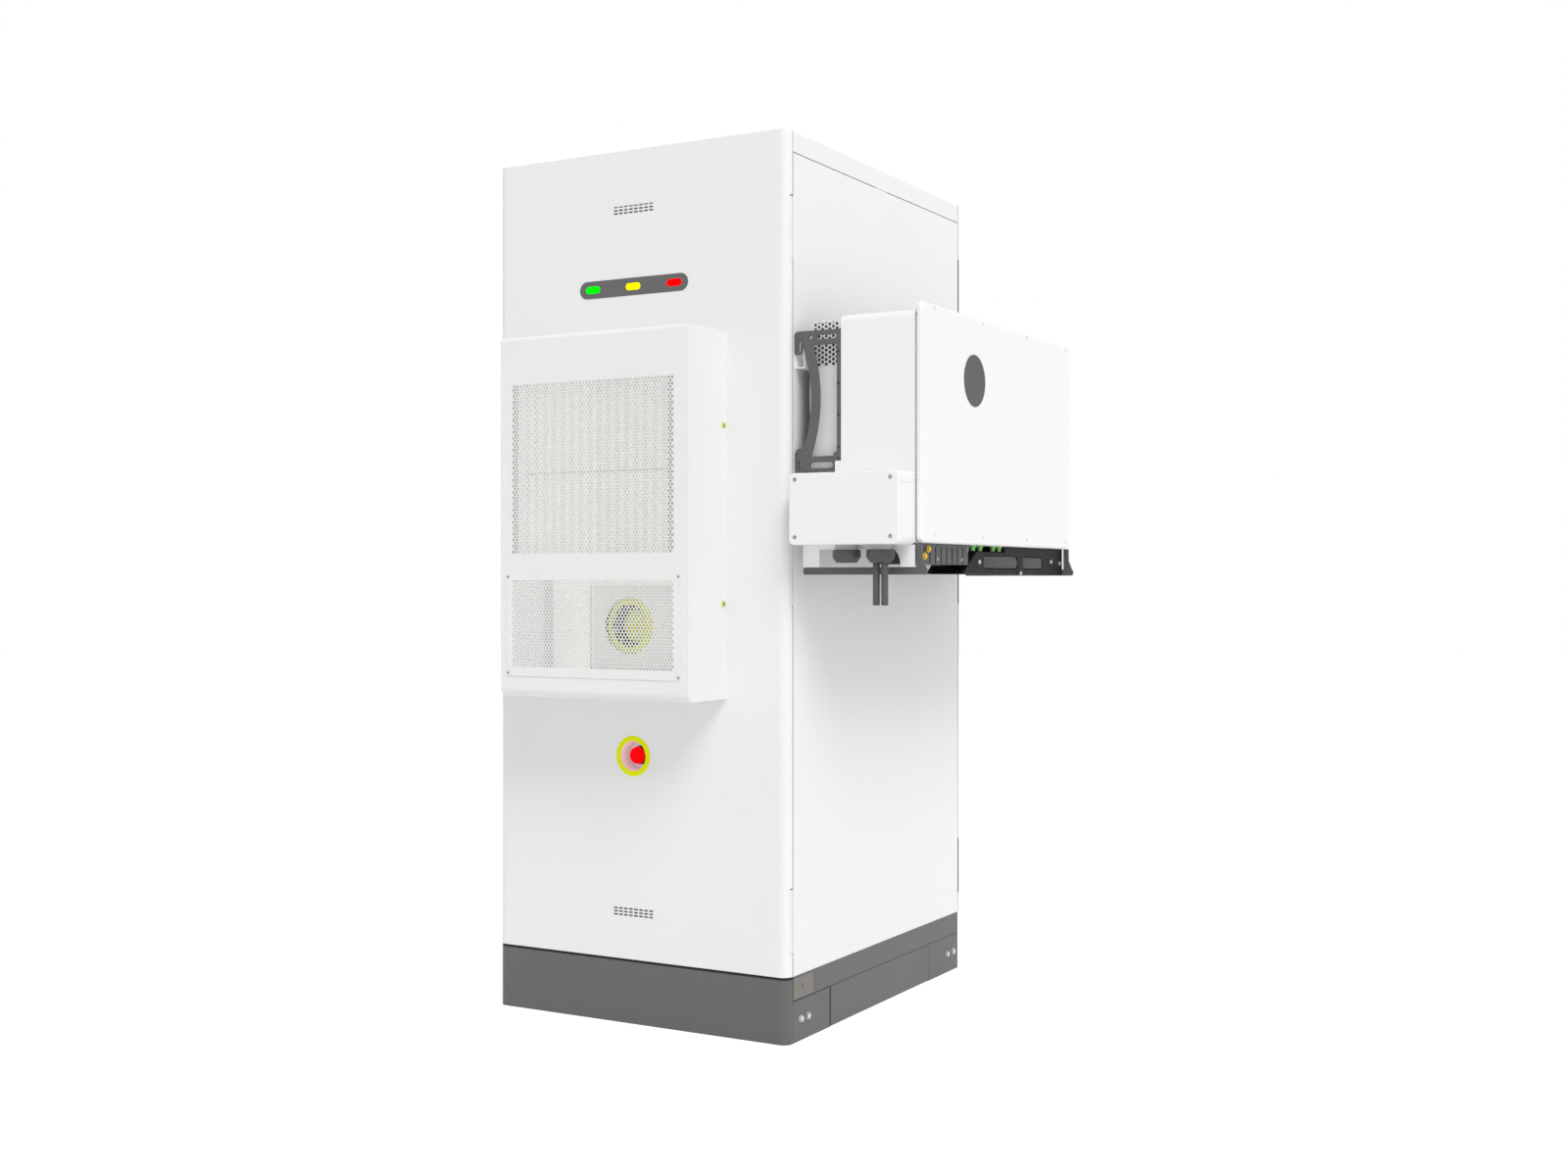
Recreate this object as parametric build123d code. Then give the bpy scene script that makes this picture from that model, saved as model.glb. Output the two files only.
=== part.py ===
from build123d import *
import os

# Outdoor battery cabinet: a sheet-metal case on a plinth, with an air conditioner in the
# front door, a rack of battery packs inside and a power converter hung on the right side.
# Millimetres. The origin is on the floor, under the middle of the case. +X is the
# converter's side, -Y is the front door, +Z is up.

# ---------------------------------------------------------------- driving dimensions
# case
WIDTH = 850.0                 # over the side panels
DEPTH = 1000.0                # over both doors
HEIGHT = 2150.0               # floor to roof
CORNER_RADIUS = 22.0          # upright edges of the front door and the plinth
REAR_CORNER_RADIUS = 11.0     # upright edges of the rear door
SKIN = 2.0                    # door, roof and plinth sheet
PANEL_SKIN = 1.5              # side panel sheet
FRONT_DOOR_DEPTH = 25.0       # outer face to folded edge
REAR_DOOR_DEPTH = 13.5
DOOR_TO_FRAME = 3.5           # running gap between a door's edge and the frame
PLINTH_HEIGHT = 155.0
DOOR_GAP = 3.0                # shadow gap between plinth and doors
ROOF_SKIRT = 50.0
ROOF_GAP = 2.0
FEATURE_SHIFT = -9.5          # middle of everything on the front door, from the case's middle

# frame
POST_SIZE = 45.0
POST_WALL = 2.5
RING_HEIGHT = 45.0
BASE_RING_HEIGHT = 55.0
BASE_RING_WIDTH = 60.0
BASE_WALL = 4.0
CROSS_BEAM_WIDTH = 50.0
CROSS_BEAM_PLACES = (-210.0, 210.0)
FLOOR_SHEET = 3.0
CABLE_ENTRY = (260.0, 84.0)
CABLE_ENTRY_Y = -362.0

# plinth
COVER_BRACKET_X = 290.0
COVER_WRAP = 26.0             # how far a plinth end cover turns round the corner
FOOT_LENGTH = 187.0           # along Y
FOOT_WIDTH = 85.0             # along X
FOOT_WALL = 5.0
ANCHOR_HOLE = 18.0
ANCHOR_INSET_X = 45.0         # anchor hole to side face
ANCHOR_INSET_Y = 100.0        # anchor hole to front or rear face
SIDE_COVER_GAP = 1.5
PLINTH_BOLT_HEAD = 19.0
PLINTH_BOLT_PROUD = 6.0
PLINTH_BOLT_Z = 52.0
PLINTH_BOLT_PLACES = (-436.0, -402.0, 408.0, 448.0)
EARTH_PLATE = (96.0, 50.0, 1.5)

# hinges, the same on both doors
HINGE_LENGTH = 150.0
HINGE_HEIGHTS = (288.0, 1104.0, 1920.0)     # middle of each hinge
HINGE_AXIS_INSET = 5.0        # pin axis in from the side face
FRONT_HINGE_BACK = 3.0        # pin axis forward of the front door's folded edge
REAR_HINGE_BACK = 3.5
BARREL_RADIUS = 5.0
PIN_RADIUS = 2.5
PIN_CLEARANCE = 0.05
KNUCKLE_GAP = 0.3
LEAF_THICKNESS = 1.2          # strip behind the barrel
HINGE_NOTCH_MARGIN = 3.0

# door stiffeners, gaskets and locks
STIFFENER_OUTER = 412.0       # half width of the hat-section ring
STIFFENER_INNER = 325.0
STIFFENER_MARGIN_Z = 16.0
STIFFENER_BAND_Z = 75.0
STIFFENER_SHEET = 2.0
GASKET_OUTER = 408.0          # half width
GASKET_BAND = 14.0
GASKET_CLEARANCE = 0.2
LOCK_X = -353.0
LOCK_Z = 1120.0
SPINDLE_RADIUS = 7.0
SPINDLE_CLEARANCE = 0.05
HANDLE_LENGTH = 76.0
HANDLE_THICKNESS = 14.0
HANDLE_STANDOFF = 18.0
ROSETTE_RADIUS = 21.0
ROSETTE_THICKNESS = 5.0
CAM_LENGTH = 54.0
CAM_WIDTH = 20.0
CAM_THICKNESS = 4.0
CAM_BEHIND_FRAME = 3.0        # cam to the back of the frame's front flange

# vents in the front door
VENT_COLUMNS, VENT_ROWS = 8, 3
VENT_SLOT = (11.4, 3.6)
VENT_PITCH = (14.9, 7.8)
VENT_HEIGHTS = (274.0, 2005.0)

# status light bar
LIGHT_BAR = (319.0, 43.0)
LIGHT_BAR_Z = 1814.0
LIGHT_BAR_DEPTH = 22.0
LIGHT_LENS = (43.0, 17.6)
LIGHT_PITCH = 120.0
LIGHT_LENS_DEPTH = 8.0
LIGHT_LENS_PROUD = 0.8
LIGHT_BAR_PROUD = 1.0

# emergency stop
ESTOP_Z = 659.0
ESTOP_RING_RADIUS = 49.5
ESTOP_CUP_RADIUS = 37.0       # inside
ESTOP_CUP_WALL = 2.0
ESTOP_CUP_DEPTH = 49.0
ESTOP_RING_THICKNESS = 1.5
ESTOP_HEAD_RADIUS = 20.8
ESTOP_HEAD_THICKNESS = 12.0
ESTOP_HEAD_RECESS = 11.0      # head's crown below the door face
ESTOP_BASE_RADIUS = 23.0
ESTOP_BASE_THICKNESS = 20.0
ESTOP_STEM_RADIUS = 8.0
ESTOP_TRAVEL = 5.0

# air conditioner
AC_WIDTH = 542.0
AC_DEPTH = 174.0              # in front of the door
AC_BOTTOM, AC_TOP = 808.0, 1684.0
AC_CENTRE_X = -11.0
AC_TOP_RADIUS = 12.0
AC_BOTTOM_RADIUS = 20.0
AC_SHEET = 2.0
GRILLE_WIDTH = 470.0
GRILLE_BOTTOM, GRILLE_TOP = 1155.0, 1566.0
GRILLE_CENTRE_X = -13.5
GRILLE_FIT = 0.1
SERVICE_PANEL = (505.0, 250.0)
SERVICE_PANEL_Z = 983.0
SERVICE_PANEL_SHEET = 1.5
SERVICE_WINDOW_MARGIN = 12.0
COIL_SETBACK = 29.0           # coil face behind the grille
COIL_THICKNESS = 40.0
COIL_MARGIN_Z = 18.0
COIL_FRAME = 18.0
FAN_X = 81.5
FAN_Z = 984.0
FAN_RADIUS = 66.0
FAN_INLET_RADIUS = 51.0
FAN_DEPTH = 42.0
FAN_BLADES = 11
FAN_CLEARANCE = 2.0
FAN_BOX_LEFT = -30.0
FAN_BOX_TOP = 1080.0
FAN_BOX_SETBACK = 22.0
FAN_BOX_DEPTH = 92.0
FAN_BOX_SHEET = 2.0
MOTOR_RADIUS = 34.0
MOTOR_LENGTH = 34.0
SHAFT_RADIUS = 6.0
SHAFT_CLEARANCE = 0.05
INDOOR_MARGIN_X = 29.0        # indoor half of the unit, inside the hood's outline
INDOOR_MARGIN_Z = 34.0
INDOOR_DEPTH = 90.0           # behind the door's folded edge
INDOOR_FLANGE = 13.0
INDOOR_FIT = 1.0

# battery rack and packs
PACKS = 6
PACK = (600.0, 700.0, 232.0)
PACK_PITCH = 256.0
PACK_CLEARANCE = 3.0
RACK_Y = 40.0
RACK_ANGLE = 40.0
RACK_SHEET = 3.0
RACK_BAR = 34.0               # height of the rack's cross bars
RACK_LEDGE = 55.0
PACK_HANDLE = (90.0, 30.0, 12.0)
PACK_HANDLE_OFFSET = 215.0
CONNECTOR_SIZE = (34.0, 28.0, 26.0)
CONNECTOR_OFFSET = 120.0
CONTROL_BOX_HEIGHT = 175.0
CONTROL_BOX_DEPTH = 480.0
KNOB_RADIUS = 26.0
KNOB_OFFSET_X = 170.0

# power converter on the right side, distances out from the side panel
CONVERTER_LENGTH = 951.0      # along Y
CONVERTER_FRONT_Y = -467.0
CONVERTER_BOTTOM = 1176.0
HOUSING_TOP = 1708.0
COVER_TOP = 1726.0
HOUSING_NEAR = 124.0          # back of the white housing
HOUSING_FAR = 313.0
COVER_NEAR = 318.0
COVER_FAR = 331.0
HOUSING_WALL = 3.0
HOUSING_TOP_RADIUS = 18.0
COVER_CORNER_RADIUS = 15.0
COVER_EDGE_RADIUS = 6.0
LIP_INSET = 7.0
DISC_RADIUS = 62.5
DISC_Y = -168.0
DISC_Z = 1572.0
DISC_THICKNESS = 2.0
END_FRAME_THICKNESS = 5.0
END_FRAME_TOP = 1676.0
END_FRAME_BAR = 34.0
END_FRAME_LOW = 1346.0
FOOT_RAIL_BOTTOM = 1104.0
FOOT_RAIL_HEIGHT = 17.0
BOW_WIDTH = 24.0
SINK_NEAR = 30.0
SINK_BASE = 8.0
SINK_TOP, SINK_BOTTOM = 1700.0, 1200.0
FIN_PITCH = 26.0
FIN_THICKNESS = 3.0
VENT_PLATE = 1.5
WALL_RAIL_DEPTH = 26.0
WALL_RAIL_HEIGHT = 45.0
WALL_RAIL_HEIGHTS = (1300.0, 1590.0)

# wiring box on the converter's front end
BOX_NEAR, BOX_FAR = 34.0, 314.0
BOX_BOTTOM, BOX_TOP = 1172.0, 1337.0
BOX_DEPTH = 88.0
LID_THICKNESS = 10.0
BOX_RADIUS = 12.0
BOX_WALL = 3.0
GLAND_RADIUS = 34.0
GLAND_TIP_RADIUS = 25.0
GLAND_HEIGHT = 41.0
GLAND_PLACES = (161.0, 247.5)
CABLE_RADIUS = 8.0
CABLE_SPREAD = 10.5           # cable axis from the gland's axis
CABLE_LENGTH = 97.0
BRACKET_THICKNESS = 4.0

# connectors under the converter
UNDER_NEAR, UNDER_FAR = 215.0, 314.0
TERMINAL_Y = (-450.0, -168.0)
TERMINAL_BOTTOM = 1128.0
TROUGH_Y = (-116.0, 474.0)
TROUGH_SLOPE = 80.0
TROUGH_WINDOWS = ((-73.0, 152.0), (186.0, 326.0))
TROUGH_WINDOW_Z = (1119.0, 1153.0)
TROUGH_WINDOW_DEPTH = 6.0
PLUG_PLACES = (-116.0, -73.0, 8.0, 47.0)
PLUG_RADIUS = 8.0
PLUG_HEIGHT = 13.0

# ---------------------------------------------------------------- derived places
HALF_W = WIDTH / 2
HALF_D = DEPTH / 2
DOOR_BOTTOM = PLINTH_HEIGHT + DOOR_GAP
FRAME_FRONT = -HALF_D + FRONT_DOOR_DEPTH + DOOR_TO_FRAME
FRAME_REAR = HALF_D - REAR_DOOR_DEPTH - DOOR_TO_FRAME
ROOF_BOTTOM = HEIGHT - ROOF_SKIRT
PANEL_TOP = ROOF_BOTTOM - ROOF_GAP
FLOOR_TOP = PLINTH_HEIGHT + FLOOR_SHEET
SIDE_IN = HALF_W - PANEL_SKIN         # inner face of a side panel
SIDE_X = HALF_W                       # converter distances start here
AC_LEFT = AC_CENTRE_X - AC_WIDTH / 2
AC_RIGHT = AC_CENTRE_X + AC_WIDTH / 2
AC_FRONT = -HALF_D - AC_DEPTH
HINGE_AXIS_X = HALF_W - HINGE_AXIS_INSET
FRONT_AXIS_Y = -HALF_D + FRONT_DOOR_DEPTH - FRONT_HINGE_BACK
REAR_AXIS_Y = HALF_D - REAR_DOOR_DEPTH + REAR_HINGE_BACK


# ---------------------------------------------------------------- helpers
def block(x, y, z):
    """A box from three (low, high) pairs."""
    centre = [(low + high) / 2 for low, high in (x, y, z)]
    return Pos(*centre) * Box(x[1] - x[0], y[1] - y[0], z[1] - z[0])


def facing_plate(x, y, z, radius):
    """A plate in the XZ plane with rounded corners, from y[0] to y[1]."""
    plane = Plane(origin=((x[0] + x[1]) / 2, y[1], (z[0] + z[1]) / 2), x_dir=(1, 0, 0), z_dir=(0, -1, 0))
    return extrude(plane * RectangleRounded(x[1] - x[0], z[1] - z[0], radius), y[1] - y[0])


def side_plate(x, y, z, radius):
    """A plate in the YZ plane with rounded corners, from x[0] to x[1]."""
    plane = Plane(origin=(x[0], (y[0] + y[1]) / 2, (z[0] + z[1]) / 2), x_dir=(0, 1, 0), z_dir=(1, 0, 0))
    return extrude(plane * RectangleRounded(y[1] - y[0], z[1] - z[0], radius), x[1] - x[0])


def rod_y(x, z, y, radius):
    """A cylinder along Y from y[0] to y[1]."""
    plane = Plane(origin=(x, y[1], z), x_dir=(1, 0, 0), z_dir=(0, -1, 0))
    return extrude(plane * Circle(radius), y[1] - y[0])


def rod_z(x, y, z, radius):
    """A cylinder along Z from z[0] to z[1]."""
    return Pos(x, y, (z[0] + z[1]) / 2) * Cylinder(radius, z[1] - z[0])


def mirrored(shape):
    """The same shape on the other side of the XZ plane."""
    return mirror(shape, about=Plane.XZ)


def corner_outline(half_width, front, back, radius):
    """A rectangle in the XY plane whose two front corners are rounded."""
    outline = make_face(Polyline((-half_width, front), (half_width, front), (half_width, back),
                                 (-half_width, back), close=True))
    return fillet(outline.vertices().sort_by(Axis.Y)[:2], radius)


def tray(half_width, front, back, z, radius, sheet):
    """A folded sheet tray, open towards +Y, with rounded upright front edges."""
    outside = Pos(0, 0, z[0]) * extrude(corner_outline(half_width, front, back, radius), z[1] - z[0])
    inside = corner_outline(half_width - sheet, front + sheet, back + 1, max(radius - sheet, 0.5))
    return outside - Pos(0, 0, z[0] + sheet) * extrude(inside, z[1] - z[0] - 2 * sheet)


def save(name, *solids):
    """Write one sub-part, as one solid or as a group of separate ones."""
    bodies = [body for shape in solids for body in shape.solids()]
    if len(bodies) == 1:
        shape = bodies[0]
    else:
        shape = Compound(children=bodies)
    export_step(shape, os.path.join("parts", name + ".step"))


# ---------------------------------------------------------------- plinth
def base_frame():
    """Welded ring of C-channel, open inwards, with two cross beams."""
    z = (PLINTH_HEIGHT - BASE_RING_HEIGHT, PLINTH_HEIGHT)
    front, back = -HALF_D + COVER_WRAP, HALF_D - COVER_WRAP
    ring = block((-HALF_W, HALF_W), (front, back), z)
    inner_x, inner_front, inner_back = HALF_W - BASE_RING_WIDTH, front + BASE_RING_WIDTH, back - BASE_RING_WIDTH
    ring -= block((-inner_x, inner_x), (inner_front, inner_back), z)
    ring -= block((-HALF_W + BASE_WALL, HALF_W - BASE_WALL), (front + BASE_WALL, back - BASE_WALL),
                  (z[0] + BASE_WALL, z[1] - BASE_WALL))
    for y in CROSS_BEAM_PLACES:
        ring += block((-inner_x - 1, inner_x + 1), (y - CROSS_BEAM_WIDTH / 2, y + CROSS_BEAM_WIDTH / 2), z)
    return ring


def corner_foot():
    """Folded foot at the front right corner, with an anchor hole in its sole."""
    x = (HALF_W - FOOT_WIDTH, HALF_W)
    y = (-HALF_D + COVER_WRAP, -HALF_D + COVER_WRAP + FOOT_LENGTH)
    z = (0, PLINTH_HEIGHT - BASE_RING_HEIGHT)
    foot = block(x, y, z)
    foot -= block((x[0] - 1, x[1] - FOOT_WALL), (y[0] + FOOT_WALL, y[1] - FOOT_WALL), (FOOT_WALL, z[1] + 1))
    anchor = (HALF_W - ANCHOR_INSET_X, -HALF_D + ANCHOR_INSET_Y)
    return foot - rod_z(*anchor, (-1, FOOT_WALL + 1), ANCHOR_HOLE / 2)


def corner_feet():
    right_front = corner_foot()
    right = [right_front, mirrored(right_front)]
    return right + [mirror(foot, about=Plane.YZ) for foot in right]


def plinth_end_cover():
    """Front cover of the plinth, turned round both corners, on two brackets."""
    back = -HALF_D + COVER_WRAP - SIDE_COVER_GAP
    cover = tray(HALF_W, -HALF_D, back, (0, PLINTH_HEIGHT), CORNER_RADIUS, SKIN)
    middle = PLINTH_HEIGHT - BASE_RING_HEIGHT / 2
    for x in (-COVER_BRACKET_X, COVER_BRACKET_X):
        cover += block((x - 30, x + 30), (-HALF_D + SKIN / 2, -HALF_D + COVER_WRAP), (middle - 2, middle + 2))
    return cover


def plinth_side_cover():
    """Lift-off cover between the feet on the right side, with folded edges."""
    end = HALF_D - COVER_WRAP - FOOT_LENGTH - SIDE_COVER_GAP
    z = (SIDE_COVER_GAP, PLINTH_HEIGHT - BASE_RING_HEIGHT)
    cover = block((HALF_W - FOOT_WALL * 4, HALF_W), (-end, end), z)
    return cover - block((HALF_W - FOOT_WALL * 4 - 1, HALF_W - SKIN), (-end + SKIN, end - SKIN),
                         (z[0] + SKIN, z[1] - SKIN))


def plinth_bolt(y):
    """Hexagon bolt head with a washer, on the right side of a foot."""
    plane = Plane(origin=(HALF_W, y, PLINTH_BOLT_Z), x_dir=(0, 1, 0), z_dir=(1, 0, 0))
    washer = extrude(plane * Circle(PLINTH_BOLT_HEAD / 2 + 1.5), 1.5)
    return washer + extrude(plane * RegularPolygon(PLINTH_BOLT_HEAD / 2, 6), PLINTH_BOLT_PROUD)


def plinth_bolts():
    right = [plinth_bolt(y) for y in PLINTH_BOLT_PLACES]
    return right + [mirror(bolt, about=Plane.YZ) for bolt in right]


def earth_plate():
    """Bronze earthing plate on the right end of the base ring."""
    length, height, thickness = EARTH_PLATE
    front = -HALF_D + COVER_WRAP + SIDE_COVER_GAP
    top = PLINTH_HEIGHT - (BASE_RING_HEIGHT - height) / 2
    plate = block((HALF_W, HALF_W + thickness), (front, front + length), (top - height, top))
    stud = Plane(origin=(HALF_W + thickness, front + length / 2, top - height / 2),
                 x_dir=(0, 1, 0), z_dir=(1, 0, 0))
    return plate + extrude(stud * Circle(6), 2.0)


# ---------------------------------------------------------------- case
def floor_pan():
    """Floor sheet on the base ring, with a cable opening in front of the rack."""
    pan = block((-SIDE_IN, SIDE_IN), (FRAME_FRONT, FRAME_REAR), (PLINTH_HEIGHT, FLOOR_TOP))
    x, y = CABLE_ENTRY[0] / 2, CABLE_ENTRY[1] / 2
    return pan - block((-x, x), (CABLE_ENTRY_Y - y, CABLE_ENTRY_Y + y), (PLINTH_HEIGHT - 1, FLOOR_TOP + 1))


def corner_post():
    """Front right post: a C-channel, open towards the middle of the case."""
    x = (SIDE_IN - POST_SIZE, SIDE_IN)
    y = (FRAME_FRONT, FRAME_FRONT + POST_SIZE)
    z = (FLOOR_TOP + RING_HEIGHT, PANEL_TOP - RING_HEIGHT)
    post = block(x, y, z)
    return post - block((x[0] - 1, x[1] - POST_WALL), (y[0] + POST_WALL, y[1] - POST_WALL), (z[0] - 1, z[1] + 1))


def corner_posts():
    front_right = corner_post()
    rear_right = Pos(0, FRAME_REAR - FRAME_FRONT - POST_SIZE, 0) * front_right
    right = [front_right, rear_right]
    return right + [mirror(post, about=Plane.YZ) for post in right]


def frame_ring(z):
    """Rectangular ring of C-channel between the posts' ends, open inwards."""
    ring = block((-SIDE_IN, SIDE_IN), (FRAME_FRONT, FRAME_REAR), z)
    inner = SIDE_IN - POST_SIZE
    ring -= block((-inner, inner), (FRAME_FRONT + POST_SIZE, FRAME_REAR - POST_SIZE), z)
    wall = POST_WALL
    return ring - block((-SIDE_IN + wall, SIDE_IN - wall), (FRAME_FRONT + wall, FRAME_REAR - wall),
                        (z[0] + wall, z[1] - wall))


def side_panel():
    """Right side panel: a flat sheet with a stiffening strip behind its middle."""
    x = (HALF_W - PANEL_SKIN, HALF_W)
    panel = block(x, (FRAME_FRONT, FRAME_REAR), (DOOR_BOTTOM, PANEL_TOP))
    strip = block((SIDE_IN - 0.5, SIDE_IN), (-150, 150), (DOOR_BOTTOM + 60, PANEL_TOP - 60))
    return panel + strip


def roof_cap():
    """Roof tray with a skirt all round, between the two doors' top edges."""
    y = (FRAME_FRONT, FRAME_REAR)
    cap = block((-HALF_W, HALF_W), y, (ROOF_BOTTOM, HEIGHT))
    cap = fillet(cap.edges().filter_by(Axis.Y).group_by(Axis.Z)[-1], 4)
    hollow = block((-HALF_W + SKIN, HALF_W - SKIN), (y[0] + SKIN, y[1] - SKIN), (ROOF_BOTTOM - 1, HEIGHT - SKIN))
    rib = block((-HALF_W + 1, HALF_W - 1), (-30, 30), (PANEL_TOP, HEIGHT - 1))
    return cap - hollow + rib


def gasket(face, towards):
    """Door seal round the frame's opening; towards is the door's side of the face."""
    outer, inner = GASKET_OUTER, GASKET_OUTER - GASKET_BAND
    margin = HALF_W - GASKET_OUTER
    low, high = DOOR_BOTTOM + margin, HEIGHT - ROOF_SKIRT - margin
    end = face + towards * (DOOR_TO_FRAME - GASKET_CLEARANCE)
    y = (min(face, end), max(face, end))
    seal = facing_plate((-outer, outer), y, (low, high), GASKET_BAND)
    return seal - facing_plate((-inner, inner), y, (low + GASKET_BAND, high - GASKET_BAND), 4)


# ---------------------------------------------------------------- hinges
def knuckle(axis_y, z):
    """Barrel section on the hinge axis, bored for the pin."""
    barrel = rod_z(HINGE_AXIS_X, axis_y, z, BARREL_RADIUS)
    return barrel - rod_z(HINGE_AXIS_X, axis_y, (z[0] - 1, z[1] + 1), PIN_RADIUS + PIN_CLEARANCE)


def hinge_frame_leaf(middle, axis_y, face):
    """Frame half of a hinge: end knuckles on a strip screwed to the post's face."""
    third, end = HINGE_LENGTH / 6, HINGE_LENGTH / 2
    strip = (face - LEAF_THICKNESS, face)
    leaf = block((HINGE_AXIS_X - 3, HINGE_AXIS_X + 3), strip, (middle - end, middle + end))
    for z in ((middle - end, middle - third - KNUCKLE_GAP), (middle + third + KNUCKLE_GAP, middle + end)):
        web = block((HINGE_AXIS_X - 3, HINGE_AXIS_X + 3), (axis_y, face), z)
        web -= rod_z(HINGE_AXIS_X, axis_y, (z[0] - 1, z[1] + 1), PIN_RADIUS + PIN_CLEARANCE)
        leaf += knuckle(axis_y, z) + web
    return leaf


def hinge_door_leaf(middle, axis_y, plate_front):
    """Door half of a hinge: the middle knuckle and a strap under the stiffener."""
    third = HINGE_LENGTH / 6
    z = (middle - third, middle + third)
    strap = block((STIFFENER_OUTER - 14, HINGE_AXIS_X), (plate_front - 4, plate_front), z)
    strap -= rod_z(HINGE_AXIS_X, axis_y, (z[0] - 1, z[1] + 1), PIN_RADIUS + PIN_CLEARANCE)
    return knuckle(axis_y, z) + strap


def hinge_pin(middle, axis_y):
    """Hinge pin with a head under the lower knuckle."""
    end = HINGE_LENGTH / 2
    pin = rod_z(HINGE_AXIS_X, axis_y, (middle - end, middle + end), PIN_RADIUS)
    return pin + rod_z(HINGE_AXIS_X, axis_y, (middle - end - 3, middle - end), BARREL_RADIUS - 0.5)


def front_plate_y():
    """Front face of the front door's stiffener plate."""
    return -HALF_D + FRONT_DOOR_DEPTH - STIFFENER_SHEET


def rear_plate_y():
    """The same on the rear door, before it is mirrored to the back."""
    return -HALF_D + REAR_DOOR_DEPTH - STIFFENER_SHEET


# ---------------------------------------------------------------- doors
def stiffener(back, z):
    """Hat-section ring behind a door's skin; back is the ring's inner face."""
    outer, inner, sheet = STIFFENER_OUTER, STIFFENER_INNER, STIFFENER_SHEET
    low, high = z[0] + STIFFENER_BAND_Z, z[1] - STIFFENER_BAND_Z
    ring = block((-outer, outer), (back - sheet, back), z)
    ring += block((-inner - sheet, inner + sheet), (-HALF_D + SKIN, back), (low - sheet, high + sheet))
    return ring - block((-inner, inner), (-HALF_D, back + 1), (low, high))


def door_shell(depth, radius, hinge_back):
    """Folded door with its stiffener, hinge notches and the lock's spindle hole."""
    back = -HALF_D + depth
    door = tray(HALF_W, -HALF_D, back, (DOOR_BOTTOM, HEIGHT), radius, SKIN)
    door += stiffener(back, (DOOR_BOTTOM + STIFFENER_MARGIN_Z, PANEL_TOP - STIFFENER_MARGIN_Z + 4))
    reach = BARREL_RADIUS + 2
    half = HINGE_LENGTH / 2 + HINGE_NOTCH_MARGIN
    for middle in HINGE_HEIGHTS:
        door -= block((STIFFENER_OUTER, HALF_W + 1), (back - hinge_back - reach, back + 1),
                      (middle - half, middle + half))
    return door - rod_y(LOCK_X, LOCK_Z, (-HALF_D - 1, back + 1), SPINDLE_RADIUS + SPINDLE_CLEARANCE)


def vent_slots(height):
    """One group of vent slots through the door's skin."""
    width, tall = VENT_SLOT
    slots = []
    for column in range(VENT_COLUMNS):
        for row in range(VENT_ROWS):
            x = FEATURE_SHIFT + (column - (VENT_COLUMNS - 1) / 2) * VENT_PITCH[0]
            z = height + (row - (VENT_ROWS - 1) / 2) * VENT_PITCH[1]
            slots.append(block((x - width / 2, x + width / 2), (-HALF_D - 1, -HALF_D + SKIN + 1),
                               (z - tall / 2, z + tall / 2)))
    return slots


def indoor_outline(grow):
    """X and Z ranges of the air conditioner's indoor half, grown by a margin."""
    x = (AC_LEFT + INDOOR_MARGIN_X - grow, AC_RIGHT - INDOOR_MARGIN_X + grow)
    z = (AC_BOTTOM + INDOOR_MARGIN_Z - grow, AC_TOP - INDOOR_MARGIN_Z + grow)
    return x, z


def front_door_panel():
    door = door_shell(FRONT_DOOR_DEPTH, CORNER_RADIUS, FRONT_HINGE_BACK)
    for height in VENT_HEIGHTS:
        for slot in vent_slots(height):
            door -= slot
    window_x, window_z = indoor_outline(INDOOR_FIT)
    through = (-HALF_D - 1, -HALF_D + SKIN + 1)
    door -= block(window_x, through, window_z)
    door -= rod_y(FEATURE_SHIFT, ESTOP_Z, through, ESTOP_CUP_RADIUS + ESTOP_CUP_WALL + 0.1)
    x, z = light_bar_body(0.1)
    return door - facing_plate(x, through, z, (z[1] - z[0]) / 2 - 0.01)


def rear_door_panel():
    return mirrored(door_shell(REAR_DOOR_DEPTH, REAR_CORNER_RADIUS, REAR_HINGE_BACK))


def lock_handle(depth):
    """T handle, rosette, spindle and cam of a door lock, in one turning piece."""
    frame_face = -HALF_D + depth + DOOR_TO_FRAME
    cam_y = (frame_face + POST_WALL + CAM_BEHIND_FRAME, frame_face + POST_WALL + CAM_BEHIND_FRAME + CAM_THICKNESS)
    bar_back = -HALF_D - HANDLE_STANDOFF
    half, thick = HANDLE_LENGTH / 2, HANDLE_THICKNESS
    handle = facing_plate((LOCK_X - thick / 2, LOCK_X + thick / 2), (bar_back - thick, bar_back),
                          (LOCK_Z - half, LOCK_Z + half), thick / 2 - 0.01)
    handle += rod_y(LOCK_X, LOCK_Z, (bar_back - 1, cam_y[1]), SPINDLE_RADIUS)
    handle += rod_y(LOCK_X, LOCK_Z, (-HALF_D - ROSETTE_THICKNESS, -HALF_D - 0.05), ROSETTE_RADIUS)
    cam_z = (LOCK_Z - CAM_LENGTH, LOCK_Z + CAM_WIDTH / 2)
    return handle + facing_plate((LOCK_X - CAM_WIDTH / 2, LOCK_X + CAM_WIDTH / 2), cam_y, cam_z, 4)


# ---------------------------------------------------------------- front door fittings
def light_bar_body(grow):
    """X and Z ranges of the light bar's body in the door's cut-out."""
    width, height = LIGHT_BAR[0] / 2 - 3 + grow, LIGHT_BAR[1] / 2 - 3 + grow
    return ((FEATURE_SHIFT - width, FEATURE_SHIFT + width), (LIGHT_BAR_Z - height, LIGHT_BAR_Z + height))


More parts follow.
